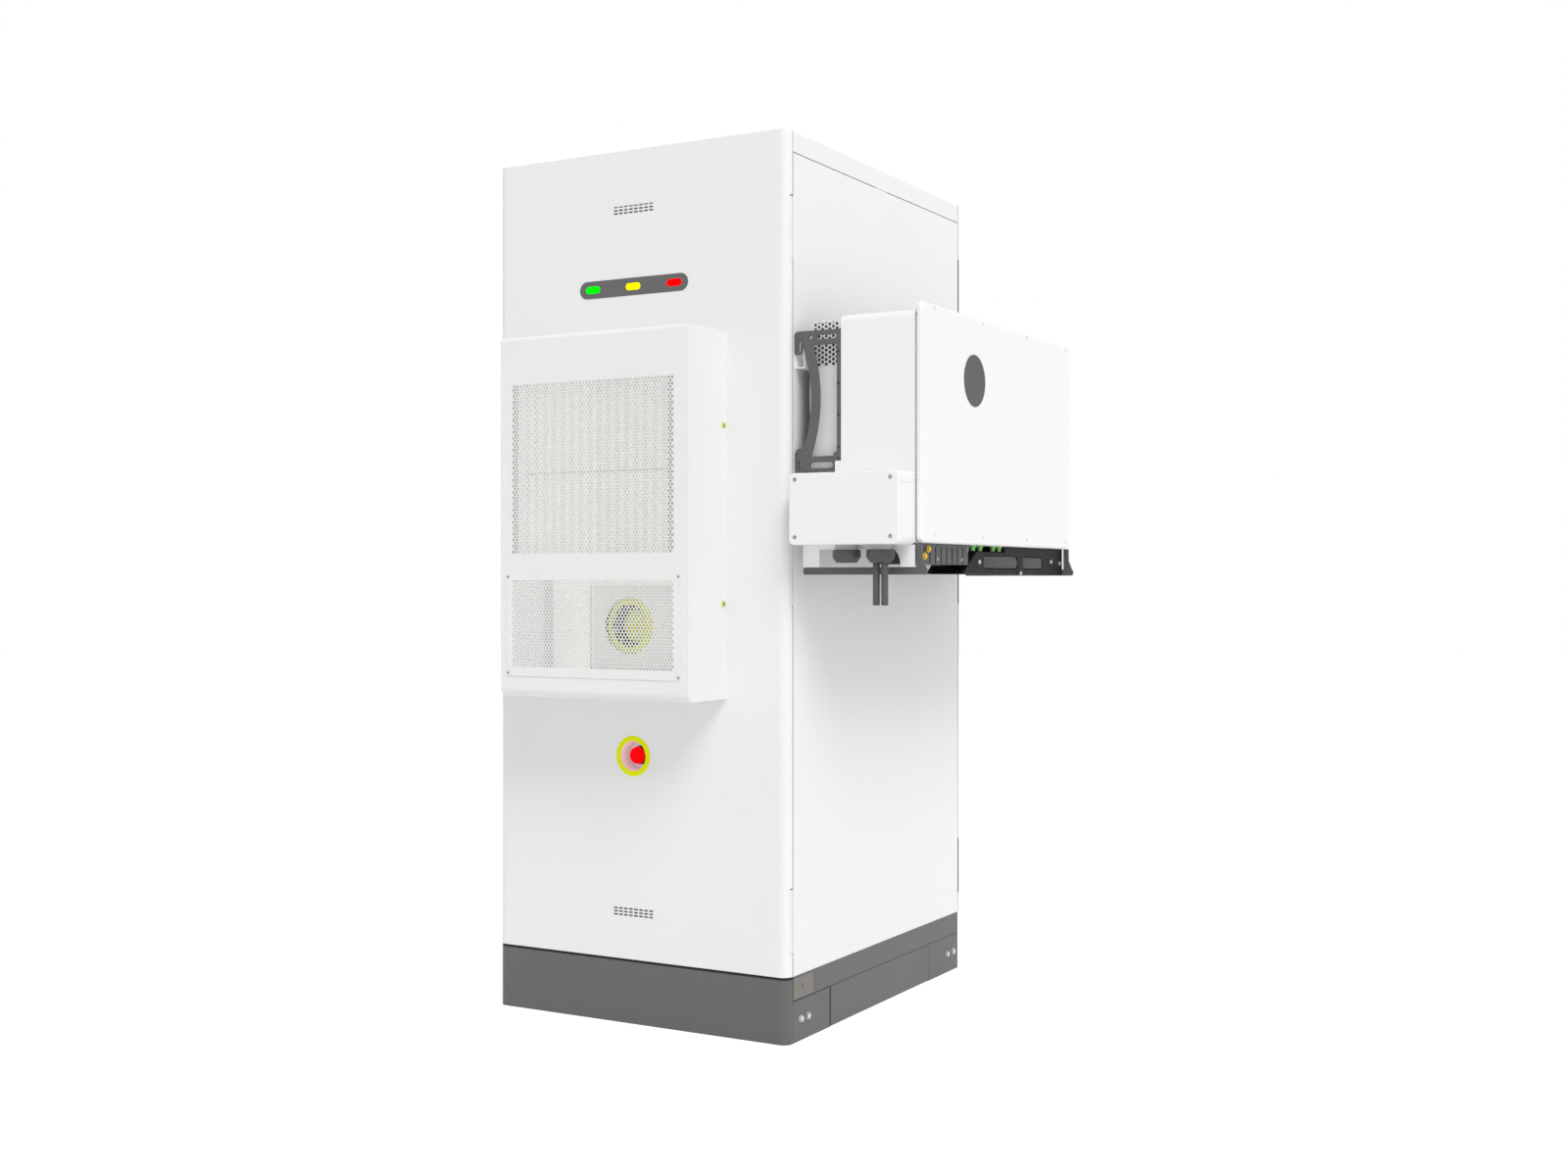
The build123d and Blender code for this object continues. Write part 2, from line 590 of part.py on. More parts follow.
def lens_ranges(place, grow):
    """X and Z ranges of one lens; place is -1, 0 or 1."""
    x = FEATURE_SHIFT + place * LIGHT_PITCH
    width, height = LIGHT_LENS[0] / 2 + grow, LIGHT_LENS[1] / 2 + grow
    return (x - width, x + width), (LIGHT_BAR_Z - height, LIGHT_BAR_Z + height)


def light_bar():
    """Obround bar with a bezel on the door's face and three lens pockets."""
    x, z = light_bar_body(0)
    half_w, half_h = LIGHT_BAR[0] / 2, LIGHT_BAR[1] / 2
    bar = facing_plate(x, (-HALF_D, -HALF_D + LIGHT_BAR_DEPTH), z, (z[1] - z[0]) / 2 - 0.01)
    bar += facing_plate((FEATURE_SHIFT - half_w, FEATURE_SHIFT + half_w), (-HALF_D - LIGHT_BAR_PROUD, -HALF_D),
                        (LIGHT_BAR_Z - half_h, LIGHT_BAR_Z + half_h), half_h - 0.01)
    floor = -HALF_D - LIGHT_BAR_PROUD - LIGHT_LENS_PROUD + LIGHT_LENS_DEPTH
    for place in (-1, 0, 1):
        x, z = lens_ranges(place, 0.1)
        bar -= facing_plate(x, (-HALF_D - 2, floor), z, (z[1] - z[0]) / 2 - 0.01)
    return bar


def light_lens(place):
    front = -HALF_D - LIGHT_BAR_PROUD - LIGHT_LENS_PROUD
    x, z = lens_ranges(place, 0)
    lens = facing_plate(x, (front, front + LIGHT_LENS_DEPTH), z, LIGHT_LENS[1] / 2 - 0.01)
    return fillet(lens.edges().group_by(Axis.Y)[0], 0.6)


def estop_ring():
    """Yellow flange of the recessed emergency stop."""
    face = (-HALF_D - ESTOP_RING_THICKNESS, -HALF_D)
    ring = rod_y(FEATURE_SHIFT, ESTOP_Z, face, ESTOP_RING_RADIUS)
    ring = fillet(ring.edges().group_by(Axis.Y)[0], 1)
    return ring - rod_y(FEATURE_SHIFT, ESTOP_Z, (face[0] - 1, face[1] + 1), ESTOP_CUP_RADIUS)


def estop_cup():
    """Deep cup behind the flange that guards the button."""
    floor = -HALF_D + ESTOP_CUP_DEPTH
    cup = rod_y(FEATURE_SHIFT, ESTOP_Z, (-HALF_D, floor + 3), ESTOP_CUP_RADIUS + ESTOP_CUP_WALL)
    return cup - rod_y(FEATURE_SHIFT, ESTOP_Z, (-HALF_D - 1, floor), ESTOP_CUP_RADIUS)


def estop_base():
    """Black contact block collar on the cup's floor, bored for the stem."""
    floor = -HALF_D + ESTOP_CUP_DEPTH
    base = rod_y(FEATURE_SHIFT, ESTOP_Z, (floor - ESTOP_BASE_THICKNESS, floor), ESTOP_BASE_RADIUS)
    base = chamfer(base.edges().group_by(Axis.Y)[0], 2)
    return base - rod_y(FEATURE_SHIFT, ESTOP_Z, (floor - ESTOP_BASE_THICKNESS - 1, floor + 1),
                        ESTOP_STEM_RADIUS + 0.05)


def estop_head():
    """Mushroom head and stem, turned about the button's axis."""
    crown = -HALF_D + ESTOP_HEAD_RECESS
    under = crown + ESTOP_HEAD_THICKNESS
    end = -HALF_D + ESTOP_CUP_DEPTH - ESTOP_TRAVEL - 1
    r, stem = ESTOP_HEAD_RADIUS, ESTOP_STEM_RADIUS
    profile = Polyline((0, crown), (r * 0.55, crown))
    profile += ThreePointArc((r * 0.55, crown), (r * 0.9, crown + 1.6), (r, crown + 5))
    profile += Polyline((r, crown + 5), (r, under - 2), (r - 4, under), (stem, under), (stem, end), (0, end),
                        (0, crown))
    head = revolve(make_face(profile), Axis.Y)
    return Pos(FEATURE_SHIFT, 0, ESTOP_Z) * head


# ---------------------------------------------------------------- air conditioner
def hood_outline(inset, back):
    """Side profile of the hood in the YZ plane, inset by a sheet's thickness."""
    front, low, high = AC_FRONT + inset, AC_BOTTOM + inset, AC_TOP - inset
    outline = make_face(Polyline((back, low), (front, low), (front, high), (back, high), close=True))
    at_front = outline.vertices().group_by(Axis.X)[0].sort_by(Axis.Y)
    outline = fillet(at_front[0], AC_BOTTOM_RADIUS - inset)
    at_front = outline.vertices().sort_by(Axis.Y)[-2:].sort_by(Axis.X)
    return fillet(at_front[0], AC_TOP_RADIUS - inset)


def service_outline(margin):
    """X and Z ranges of the removable panel, made smaller by a margin."""
    width, height = SERVICE_PANEL[0] / 2 - margin, SERVICE_PANEL[1] / 2 - margin
    middle = AC_CENTRE_X - 0.5
    return (middle - width, middle + width), (SERVICE_PANEL_Z - height, SERVICE_PANEL_Z + height)


def grille_outline(fit):
    """X and Z ranges of the upper grille, made smaller by a fit."""
    x = (GRILLE_CENTRE_X - GRILLE_WIDTH / 2 + fit, GRILLE_CENTRE_X + GRILLE_WIDTH / 2 - fit)
    return x, (GRILLE_BOTTOM + fit, GRILLE_TOP - fit)


def ac_cover():
    """Hood in front of the door, with rounded top and bottom front edges."""
    plane = Plane(origin=(AC_LEFT, 0, 0), x_dir=(0, 1, 0), z_dir=(1, 0, 0))
    hood = extrude(plane * hood_outline(0, -HALF_D), AC_WIDTH)
    inside = Plane(origin=(AC_LEFT + AC_SHEET, 0, 0), x_dir=(0, 1, 0), z_dir=(1, 0, 0))
    hood -= extrude(inside * hood_outline(AC_SHEET, -HALF_D + 1), AC_WIDTH - 2 * AC_SHEET)
    through = (AC_FRONT - 1, AC_FRONT + AC_SHEET + 1)
    for x, z in (grille_outline(0), service_outline(SERVICE_WINDOW_MARGIN)):
        hood -= block(x, through, z)
    return hood


def ac_upper_grille():
    x, z = grille_outline(GRILLE_FIT)
    return block(x, (AC_FRONT, AC_FRONT + AC_SHEET), z)


def ac_service_panel():
    x, z = service_outline(0)
    return facing_plate(x, (AC_FRONT - SERVICE_PANEL_SHEET, AC_FRONT), z, 3)


def ac_condenser_coil():
    """Fin block between two folded end channels that close the grille's sides."""
    x = (AC_LEFT + AC_SHEET, AC_RIGHT - AC_SHEET)
    front = AC_FRONT + COIL_SETBACK
    z = (GRILLE_BOTTOM - COIL_MARGIN_Z, GRILLE_TOP + COIL_MARGIN_Z)
    grille_x, _ = grille_outline(0)
    inner = (grille_x[0] + COIL_FRAME, grille_x[1] - COIL_FRAME)
    coil = block((inner[0] - 2, inner[1] + 2), (front, front + COIL_THICKNESS), (z[0] + 2, z[1] - 2))
    for side in ((x[0], inner[0]), (inner[1], x[1])):
        channel = block(side, (AC_FRONT + AC_SHEET + 1, front + COIL_THICKNESS), z)
        hollow = (side[0] + 2, side[1] - 2)
        coil += channel - block(hollow, (AC_FRONT + AC_SHEET + 3, front + COIL_THICKNESS + 1), (z[0] + 2, z[1] - 2))
    return coil


def ac_fan_box():
    """Fan box: bored front plate, partition, top, back plate and motor boss."""
    front = AC_FRONT + FAN_BOX_SETBACK
    x, z = (FAN_BOX_LEFT, AC_RIGHT - AC_SHEET), (AC_BOTTOM + AC_SHEET, FAN_BOX_TOP)
    sheet = FAN_BOX_SHEET
    box = block(x, (front, front + FAN_BOX_DEPTH), z)
    box -= block((x[0] + sheet, x[1] + 1), (front + sheet, front + FAN_BOX_DEPTH - sheet), (z[0] - 1, z[1] - sheet))
    box -= rod_y(FAN_X, FAN_Z, (front - 1, front + sheet + 1), FAN_RADIUS + FAN_CLEARANCE)
    back = front + FAN_BOX_DEPTH
    box += rod_y(FAN_X, FAN_Z, (back - MOTOR_LENGTH, back), MOTOR_RADIUS)
    return box - rod_y(FAN_X, FAN_Z, (back - MOTOR_LENGTH - 1, back - 4), SHAFT_RADIUS + SHAFT_CLEARANCE)


def ac_fan_rotor():
    """Centrifugal wheel: inlet ring, backward-curved blades, hub disc and shaft."""
    front = AC_FRONT + FAN_BOX_SETBACK + 1
    back = front + FAN_DEPTH
    motor_front = AC_FRONT + FAN_BOX_SETBACK + FAN_BOX_DEPTH - MOTOR_LENGTH
    ring = Polyline((FAN_INLET_RADIUS, front), (FAN_INLET_RADIUS + 3, front), (FAN_RADIUS, front + 9),
                    (FAN_RADIUS, front + 12), (FAN_INLET_RADIUS, front + 3), close=True)
    disc = Polyline((0, back - 8), (FAN_RADIUS * 0.45, back - 8), (FAN_RADIUS * 0.6, back - 3),
                    (FAN_RADIUS, back - 3), (FAN_RADIUS, back), (SHAFT_RADIUS, back),
                    (SHAFT_RADIUS, motor_front + MOTOR_LENGTH - 6), (0, motor_front + MOTOR_LENGTH - 6), close=True)
    inner, outer = FAN_RADIUS * 0.62, FAN_RADIUS - 1.5
    path = ThreePointArc((inner, 0), ((inner + outer) / 2 + 1, 8), (outer - 3, 24))
    plane = Plane(origin=(0, back - 2, 0), x_dir=(1, 0, 0), z_dir=(0, -1, 0))
    blade = extrude(plane * trace(path, 2.5), FAN_DEPTH - 9)
    slope = Polyline((FAN_INLET_RADIUS + 1, front + 2), (FAN_RADIUS + 9, front + 14.5), (FAN_RADIUS + 9, front - 9),
                     (FAN_INLET_RADIUS + 1, front - 9), close=True)
    blade = (blade - revolve(make_face(slope), Axis.Y)).solids()[0]
    blades = [Rot(0, 360 * turn / FAN_BLADES, 0) * blade for turn in range(FAN_BLADES)]
    wheel = revolve(make_face(disc), Axis.Y).fuse(*blades, revolve(make_face(ring), Axis.Y))
    return Pos(FAN_X, 0, FAN_Z) * wheel


def ac_indoor_unit():
    """Indoor half: a casing through the door with supply and return louvres."""
    x, z = indoor_outline(0)
    back = -HALF_D + FRONT_DOOR_DEPTH + INDOOR_DEPTH
    casing = block(x, (-HALF_D, back), z)
    flange_x, flange_z = indoor_outline(INDOOR_FLANGE)
    casing += block(flange_x, (-HALF_D + SKIN, -HALF_D + SKIN + 3), flange_z)
    casing -= block((x[0] + 2, x[1] - 2), (-HALF_D - 1, back - 2), (z[0] + 2, z[1] - 2))
    for start in (z[0] + 40, z[1] - 40 - 7 * 18):
        for row in range(8):
            low = start + row * 18
            casing -= block((x[0] + 50, x[1] - 50), (back - 3, back + 1), (low - 4, low + 4))
    return casing


# ---------------------------------------------------------------- battery rack
def ledge_top(level):
    """Height of the rack ledge that carries the pack on this level."""
    return FLOOR_TOP + RACK_ANGLE + RACK_SHEET + level * PACK_PITCH


RACK_FRONT = RACK_Y - PACK[1] / 2
RACK_BACK = RACK_Y + PACK[1] / 2
RACK_IN = PACK[0] / 2 + PACK_CLEARANCE
RACK_OUT = RACK_IN + RACK_ANGLE
RACK_TOP = ledge_top(PACKS) + CONTROL_BOX_HEIGHT + 40


def battery_rack():
    """Welded rack: four angle uprights, ledges on both sides and cross bars."""
    rack = None
    for x_side in (-1, 1):
        for y_side in (-1, 1):
            corner_x, corner_y = x_side * RACK_OUT, RACK_Y + y_side * PACK[1] / 2
            x = sorted((corner_x, corner_x - x_side * RACK_ANGLE))
            y = sorted((corner_y, corner_y - y_side * RACK_ANGLE))
            upright = block(x, sorted((corner_y, corner_y - y_side * RACK_SHEET)), (FLOOR_TOP, RACK_TOP))
            upright += block(sorted((corner_x, corner_x - x_side * RACK_SHEET)), y, (FLOOR_TOP, RACK_TOP))
            rack = upright if rack is None else rack + upright
        for level in range(PACKS + 1):
            top = ledge_top(level)
            wall = x_side * (RACK_OUT - RACK_SHEET)
            inner = x_side * (RACK_OUT - RACK_LEDGE)
            y = (RACK_FRONT + RACK_SHEET, RACK_BACK - RACK_SHEET)
            rack += block(sorted((wall, inner)), y, (top - RACK_SHEET, top))
            rack += block(sorted((wall, wall - x_side * RACK_SHEET)), y, (top - RACK_ANGLE, top))
    for z in ((FLOOR_TOP, FLOOR_TOP + RACK_BAR), (RACK_TOP - RACK_BAR, RACK_TOP)):
        for y in ((RACK_FRONT, RACK_FRONT + RACK_SHEET), (RACK_BACK - RACK_SHEET, RACK_BACK)):
            rack += block((-RACK_OUT, RACK_OUT), y, z)
    return rack


def bow(x, z, front, depth, width, bar):
    """U handle standing out of a front face."""
    outside = block((x - width / 2, x + width / 2), (front - depth, front), (z - bar / 2, z + bar / 2))
    return outside - block((x - width / 2 + bar, x + width / 2 - bar), (front - depth + bar, front + 1),
                           (z - bar, z + bar))


def battery_pack(level):
    """Battery pack: tub, flanged lid, front frame, two pull handles and two sockets."""
    low, high = ledge_top(level), ledge_top(level) + PACK[2]
    half = PACK[0] / 2
    pack = block((-half, half), (RACK_FRONT, RACK_BACK), (low, high - 3))
    pack += block((-half - 2, half + 2), (RACK_FRONT + RACK_SHEET + 2, RACK_BACK - 5), (high - 34, high - 30))
    pack += block((-half + 15, half - 15), (RACK_FRONT + 30, RACK_BACK - 30), (high - 3, high))
    pack -= block((-half + 14, half - 14), (RACK_FRONT - 1, RACK_FRONT + 4), (low + 14, high - 46))
    middle = (low + high) / 2
    for side in (-1, 1):
        pack += bow(side * PACK_HANDLE_OFFSET, middle, RACK_FRONT + 4, PACK_HANDLE[1] + 4, PACK_HANDLE[0],
                    PACK_HANDLE[2])
        x = side * CONNECTOR_OFFSET
        socket = block((x - CONNECTOR_SIZE[0] / 2, x + CONNECTOR_SIZE[0] / 2),
                       (RACK_FRONT + 4 - CONNECTOR_SIZE[1], RACK_FRONT + 5),
                       (middle - CONNECTOR_SIZE[2] / 2, middle + CONNECTOR_SIZE[2] / 2))
        pack += socket - rod_y(x, middle, (RACK_FRONT - CONNECTOR_SIZE[1], RACK_FRONT - 5), 9)
    return pack


def control_box():
    """Switch and control box on the rack's top ledge, bored for the isolator."""
    low = ledge_top(PACKS)
    half = PACK[0] / 2
    y = (RACK_FRONT, RACK_FRONT + CONTROL_BOX_DEPTH)
    box = block((-half, half), y, (low, low + CONTROL_BOX_HEIGHT))
    box -= block((-half + 12, half - 12), (y[0] - 1, y[0] + 3), (low + 12, low + CONTROL_BOX_HEIGHT - 12))
    middle = low + CONTROL_BOX_HEIGHT / 2
    for x in (-half + 70, -half + 150, -half + 230):
        breaker = block((x - 27, x + 27), (y[0] - 14, y[0] + 4), (middle - 42, middle + 42))
        box += breaker + block((x - 20, x + 20), (y[0] - 26, y[0] - 13), (middle - 8, middle + 8))
    return box - rod_y(KNOB_OFFSET_X, middle, (y[0] - 1, y[0] + 40), SPINDLE_RADIUS + SPINDLE_CLEARANCE)


def isolator_knob():
    """Rotary isolator handle with its shaft in the control box."""
    middle = ledge_top(PACKS) + CONTROL_BOX_HEIGHT / 2
    face = RACK_FRONT + 3 - 0.3
    knob = rod_y(KNOB_OFFSET_X, middle, (face - 10, face), KNOB_RADIUS)
    knob += facing_plate((KNOB_OFFSET_X - 7, KNOB_OFFSET_X + 7), (face - 30, face - 9),
                         (middle - KNOB_RADIUS, middle + KNOB_RADIUS), 4)
    return knob + rod_y(KNOB_OFFSET_X, middle, (face - 1, RACK_FRONT + 36), SPINDLE_RADIUS)


# ---------------------------------------------------------------- power converter
CONVERTER_Y = (CONVERTER_FRONT_Y, CONVERTER_FRONT_Y + CONVERTER_LENGTH)
HOUSING_X = (SIDE_X + HOUSING_NEAR, SIDE_X + HOUSING_FAR)
COVER_X = (SIDE_X + COVER_NEAR, SIDE_X + COVER_FAR)


def end_frame():
    """Dark end frame of the converter: hook leg, bow handle, bars and foot rail."""
    top, low, wide = END_FRAME_TOP, END_FRAME_LOW, HOUSING_NEAR

    def bar(u, v, radius=0.0):
        size = (u[1] - u[0], v[1] - v[0])
        place = Pos((u[0] + u[1]) / 2, (v[0] + v[1]) / 2)
        return place * (RectangleRounded(*size, radius) if radius else Rectangle(*size))

    def slot(u, v, length, width, turn=0):
        return Pos(u, v) * Rot(0, 0, turn) * SlotOverall(length, width)

    bar_low = top - END_FRAME_BAR
    outline = bar((0, wide), (bar_low, top), 9)
    outline += bar((wide - 20, wide), (bar_low, top))
    outline += bar((0, 21), (top - 55, top), 9)
    outline += bar((wide - 11, wide), (low + 39, top - 10))
    outline += bar((3, 42), (low, low + 54), 10)
    outline += bar((3, wide - 18), (low, low + 35))
    bow_arc = ThreePointArc((31, bar_low + 12), (56, (top + low) / 2 - 3), (33, low + 42))
    outline += trace(bow_arc, BOW_WIDTH)
    outline += bar((wide - 20, wide), (low + 24, low + 44), 4)
    outline += bar((34, 60), (FOOT_RAIL_BOTTOM, low + 5))
    rail_top = FOOT_RAIL_BOTTOM + FOOT_RAIL_HEIGHT
    outline += bar((24, COVER_FAR + 12), (FOOT_RAIL_BOTTOM, rail_top), 6)
    outline += bar((COVER_NEAR - 2, COVER_FAR - 1), (rail_top - 8, CONVERTER_BOTTOM))
    outline += make_face(Polyline((COVER_FAR - 2, rail_top + 26), (COVER_FAR + 10, rail_top - 4),
                                  (COVER_FAR - 2, rail_top - 4), close=True))
    outline -= slot(43, top - 16, 9, 8.99)
    outline -= slot(86, top - 16, 52, 11)
    outline -= slot(14, top - 36, 24, 6, 90)
    outline -= slot(72, low + 14, 62, 14)
    outline -= slot(13, low + 14, 22, 6, 90)
    outline -= slot(10, low + 40, 6, 5.99)
    plane = Plane(origin=(SIDE_X, CONVERTER_FRONT_Y + END_FRAME_THICKNESS, 0), x_dir=(1, 0, 0), z_dir=(0, -1, 0))
    return extrude(plane * outline, END_FRAME_THICKNESS)


def far_end_frame():
    """The same frame at the other end of the converter."""
    return Pos(0, CONVERTER_LENGTH - END_FRAME_THICKNESS, 0) * end_frame()


def wall_rails():
    """Two C-rails on the side panel that the end frames hook over."""
    y = (CONVERTER_Y[0] + END_FRAME_THICKNESS, CONVERTER_Y[1] - END_FRAME_THICKNESS)
    rails = []
    for low in WALL_RAIL_HEIGHTS:
        rail = block((SIDE_X, SIDE_X + WALL_RAIL_DEPTH), y, (low, low + WALL_RAIL_HEIGHT))
        rails.append(rail - block((SIDE_X + 3, SIDE_X + WALL_RAIL_DEPTH - 3), (y[0] - 1, y[1] + 1),
                                  (low + 3, low + WALL_RAIL_HEIGHT + 1)))
    return rails


def heat_sink():
    """Comb of upright cooling fins on a base plate behind the housing."""
    vent_y = END_FRAME_THICKNESS + 36
    y = (CONVERTER_Y[0] + vent_y, CONVERTER_Y[1] - vent_y)
    z = (SINK_BOTTOM, SINK_TOP)
    sink = block((HOUSING_X[0] - SINK_BASE, HOUSING_X[0]), y, z)
    count = int((y[1] - y[0] - FIN_THICKNESS) // FIN_PITCH) + 1
    start = (y[0] + y[1] - (count - 1) * FIN_PITCH) / 2
    fins = [block((SIDE_X + SINK_NEAR, HOUSING_X[0] - SINK_BASE + 0.5),
                  (start + i * FIN_PITCH - FIN_THICKNESS / 2, start + i * FIN_PITCH + FIN_THICKNESS / 2), z)
            for i in range(count)]
    return sink + fins


def vent_plate():
    """Vent plate in front of the fins' near end, folded onto the housing's back."""
    front = CONVERTER_Y[0] + END_FRAME_THICKNESS + 22
    z = (END_FRAME_LOW, SINK_TOP + 3)
    plate = block((SIDE_X + SINK_NEAR - 3, HOUSING_X[0]), (front, front + VENT_PLATE), z)
    return plate + block((HOUSING_X[0] - VENT_PLATE, HOUSING_X[0]), (front, front + 13), z)


def vent_plates():
    middle = (CONVERTER_Y[0] + CONVERTER_Y[1]) / 2
    near = vent_plate()
    return [near, mirror(near, about=Plane(origin=(0, middle, 0), z_dir=(0, 1, 0)))]


def converter_housing():
    """White housing, open towards the cover, with a lip that carries the cover."""
    z = (CONVERTER_BOTTOM, HOUSING_TOP)
    shell = block(HOUSING_X, CONVERTER_Y, z)
    shell = fillet(shell.edges().filter_by(Axis.X).group_by(Axis.Z)[-1], HOUSING_TOP_RADIUS)
    wall, lip = HOUSING_WALL, LIP_INSET
    lip_x = (HOUSING_X[1] - 6, COVER_X[1] - SKIN)
    lip_y, lip_z = (CONVERTER_Y[0] + lip, CONVERTER_Y[1] - lip), (z[0] + lip, z[1] - lip)
    shell -= side_plate((HOUSING_X[0] + wall, HOUSING_X[1] + 1), (CONVERTER_Y[0] + wall, CONVERTER_Y[1] - wall),
                        (z[0] + wall, z[1] - wall), HOUSING_TOP_RADIUS - wall)
    collar = block((HOUSING_X[1] - wall, HOUSING_X[1]), (CONVERTER_Y[0] + 1, CONVERTER_Y[1] - 1),
                   (z[0] + 1, z[1] - HOUSING_TOP_RADIUS))
    collar += side_plate(lip_x, lip_y, lip_z, COVER_CORNER_RADIUS)
    hole_y, hole_z = (lip_y[0] + wall, lip_y[1] - wall), (lip_z[0] + wall, lip_z[1] - wall)
    collar -= side_plate((lip_x[0] - 1, lip_x[1] + 1), hole_y, hole_z, COVER_CORNER_RADIUS - wall)
    tab = block((HOUSING_X[0] - 16, HOUSING_X[0] + wall), (CONVERTER_Y[0], CONVERTER_Y[0] + END_FRAME_THICKNESS),
                (END_FRAME_LOW - 6, END_FRAME_LOW + 23))
    return shell + collar + tab


def converter_cover():
    """Front cover: a shallow tray with rounded corners and a rounded edge."""
    z = (CONVERTER_BOTTOM, COVER_TOP)
    cover = side_plate(COVER_X, CONVERTER_Y, z, COVER_CORNER_RADIUS)
    cover = fillet(cover.edges().group_by(Axis.X)[-1], COVER_EDGE_RADIUS)
    inside_y = (CONVERTER_Y[0] + SKIN, CONVERTER_Y[1] - SKIN)
    return cover - side_plate((COVER_X[0] - 1, COVER_X[1] - SKIN), inside_y, (z[0] + SKIN, z[1] - SKIN),
                              COVER_CORNER_RADIUS - SKIN)


def status_disc():
    """Plain round disc on the cover."""
    plane = Plane(origin=(COVER_X[1], DISC_Y, DISC_Z), x_dir=(0, 1, 0), z_dir=(1, 0, 0))
    disc = extrude(plane * Circle(DISC_RADIUS), DISC_THICKNESS)
    return fillet(disc.edges().group_by(Axis.X)[-1], 0.8)


# ---------------------------------------------------------------- wiring box
BOX_X = (SIDE_X + BOX_NEAR, SIDE_X + BOX_FAR)
BOX_Y = (CONVERTER_FRONT_Y - BOX_DEPTH + LID_THICKNESS, CONVERTER_FRONT_Y)
GLAND_Y = CONVERTER_FRONT_Y - BOX_DEPTH / 2 + 1


def wiring_box():
    """Box on the converter's front end, open towards its lid."""
    box = facing_plate(BOX_X, BOX_Y, (BOX_BOTTOM, BOX_TOP), BOX_RADIUS)
    wall = BOX_WALL
    return box - facing_plate((BOX_X[0] + wall, BOX_X[1] - wall), (BOX_Y[0] - 1, BOX_Y[1] - wall),
                              (BOX_BOTTOM + wall, BOX_TOP - wall), BOX_RADIUS - wall)


def wiring_box_lid():
    lid = facing_plate(BOX_X, (BOX_Y[0] - LID_THICKNESS, BOX_Y[0]), (BOX_BOTTOM, BOX_TOP), BOX_RADIUS)
    return fillet(lid.edges().group_by(Axis.Y)[0], 3)


def wiring_box_bracket():
    """White bracket under the box: a foot on the left and a curved gusset on the right."""
    low, high = FOOT_RAIL_BOTTOM + FOOT_RAIL_HEIGHT, BOX_BOTTOM
    left = make_face(Polyline((BOX_NEAR - 8, low), (BOX_NEAR + 35, low), (BOX_NEAR + 35, high),
                              (BOX_NEAR - 8, high), close=True))
    arc = ThreePointArc((BOX_FAR - 72, high), (BOX_FAR - 48, high - 14), (BOX_FAR - 36, low))
    right = make_face(arc + Polyline((BOX_FAR - 36, low), (BOX_FAR, low), (BOX_FAR, high), (BOX_FAR - 72, high)))
    web = make_face(Polyline((BOX_NEAR, high - 9), (BOX_FAR - 20, high - 9), (BOX_FAR - 20, high),
                             (BOX_NEAR, high), close=True))
    plane = Plane(origin=(SIDE_X, CONVERTER_FRONT_Y, 0), x_dir=(1, 0, 0), z_dir=(0, -1, 0))
    return extrude(plane * (left + web + right), BRACKET_THICKNESS)


def cable_gland(place):
    """Tapered gland under the wiring box: flange, hexagon and cap."""
    top, tip = BOX_BOTTOM, BOX_BOTTOM - GLAND_HEIGHT
    r, end = GLAND_RADIUS, GLAND_TIP_RADIUS
    profile = Polyline((0, top), (r, top), (r, top - 6), (r - 3, top - 8), (r - 3, top - 24), (end + 2, tip + 3),
                       (end, tip), (0, tip), close=True)
    plane = Plane(origin=(SIDE_X + place, GLAND_Y, 0), x_dir=(1, 0, 0), z_dir=(0, -1, 0))
    gland = revolve(plane * make_face(profile), Axis((SIDE_X + place, GLAND_Y, 0), (0, 0, 1)))
    grip = Pos(SIDE_X + place, GLAND_Y, top - 24) * extrude(RegularPolygon(r - 0.5, 6), 14)
    return gland + grip


def power_cable(side):
    """Straight cable tail hanging from the right gland."""
    x = SIDE_X + GLAND_PLACES[1] + side * CABLE_SPREAD
    top = BOX_BOTTOM - GLAND_HEIGHT
    return rod_z(x, GLAND_Y, (top - CABLE_LENGTH, top), CABLE_RADIUS)


# ---------------------------------------------------------------- under the converter
UNDER_X = (SIDE_X + UNDER_NEAR, SIDE_X + UNDER_FAR)


def terminal_block():
    """Ribbed row of terminals under the housing."""
    z = (TERMINAL_BOTTOM, CONVERTER_BOTTOM)
    row = block(UNDER_X, TERMINAL_Y, z)
    count = 9
    pitch = (TERMINAL_Y[1] - TERMINAL_Y[0]) / count
    for i in range(1, count):
        y = TERMINAL_Y[0] + i * pitch
        row -= block((UNDER_X[1] - 4, UNDER_X[1] + 1), (y - 3, y + 3), (z[0] - 1, z[1] - 9))
    return row


def cable_trough():
    """Trough under the housing with a slanted end, a step and two windows."""
    high, low = CONVERTER_BOTTOM, FOOT_RAIL_BOTTOM + 2
    step_y, step_z = TROUGH_Y[0] + 180, high - PLUG_HEIGHT - 2
    outline = make_face(Polyline((TROUGH_Y[0] - TROUGH_SLOPE, low), (TROUGH_Y[1], low), (TROUGH_Y[1], high),
                                 (step_y, high), (step_y, step_z), (TROUGH_Y[0], step_z), close=True))
    plane = Plane(origin=(UNDER_X[0], 0, 0), x_dir=(0, 1, 0), z_dir=(1, 0, 0))
    trough = extrude(plane * outline, UNDER_X[1] - UNDER_X[0])
    for y in TROUGH_WINDOWS:
        trough -= side_plate((UNDER_X[1] - TROUGH_WINDOW_DEPTH, UNDER_X[1] + 1), y, TROUGH_WINDOW_Z, 14)
    return trough


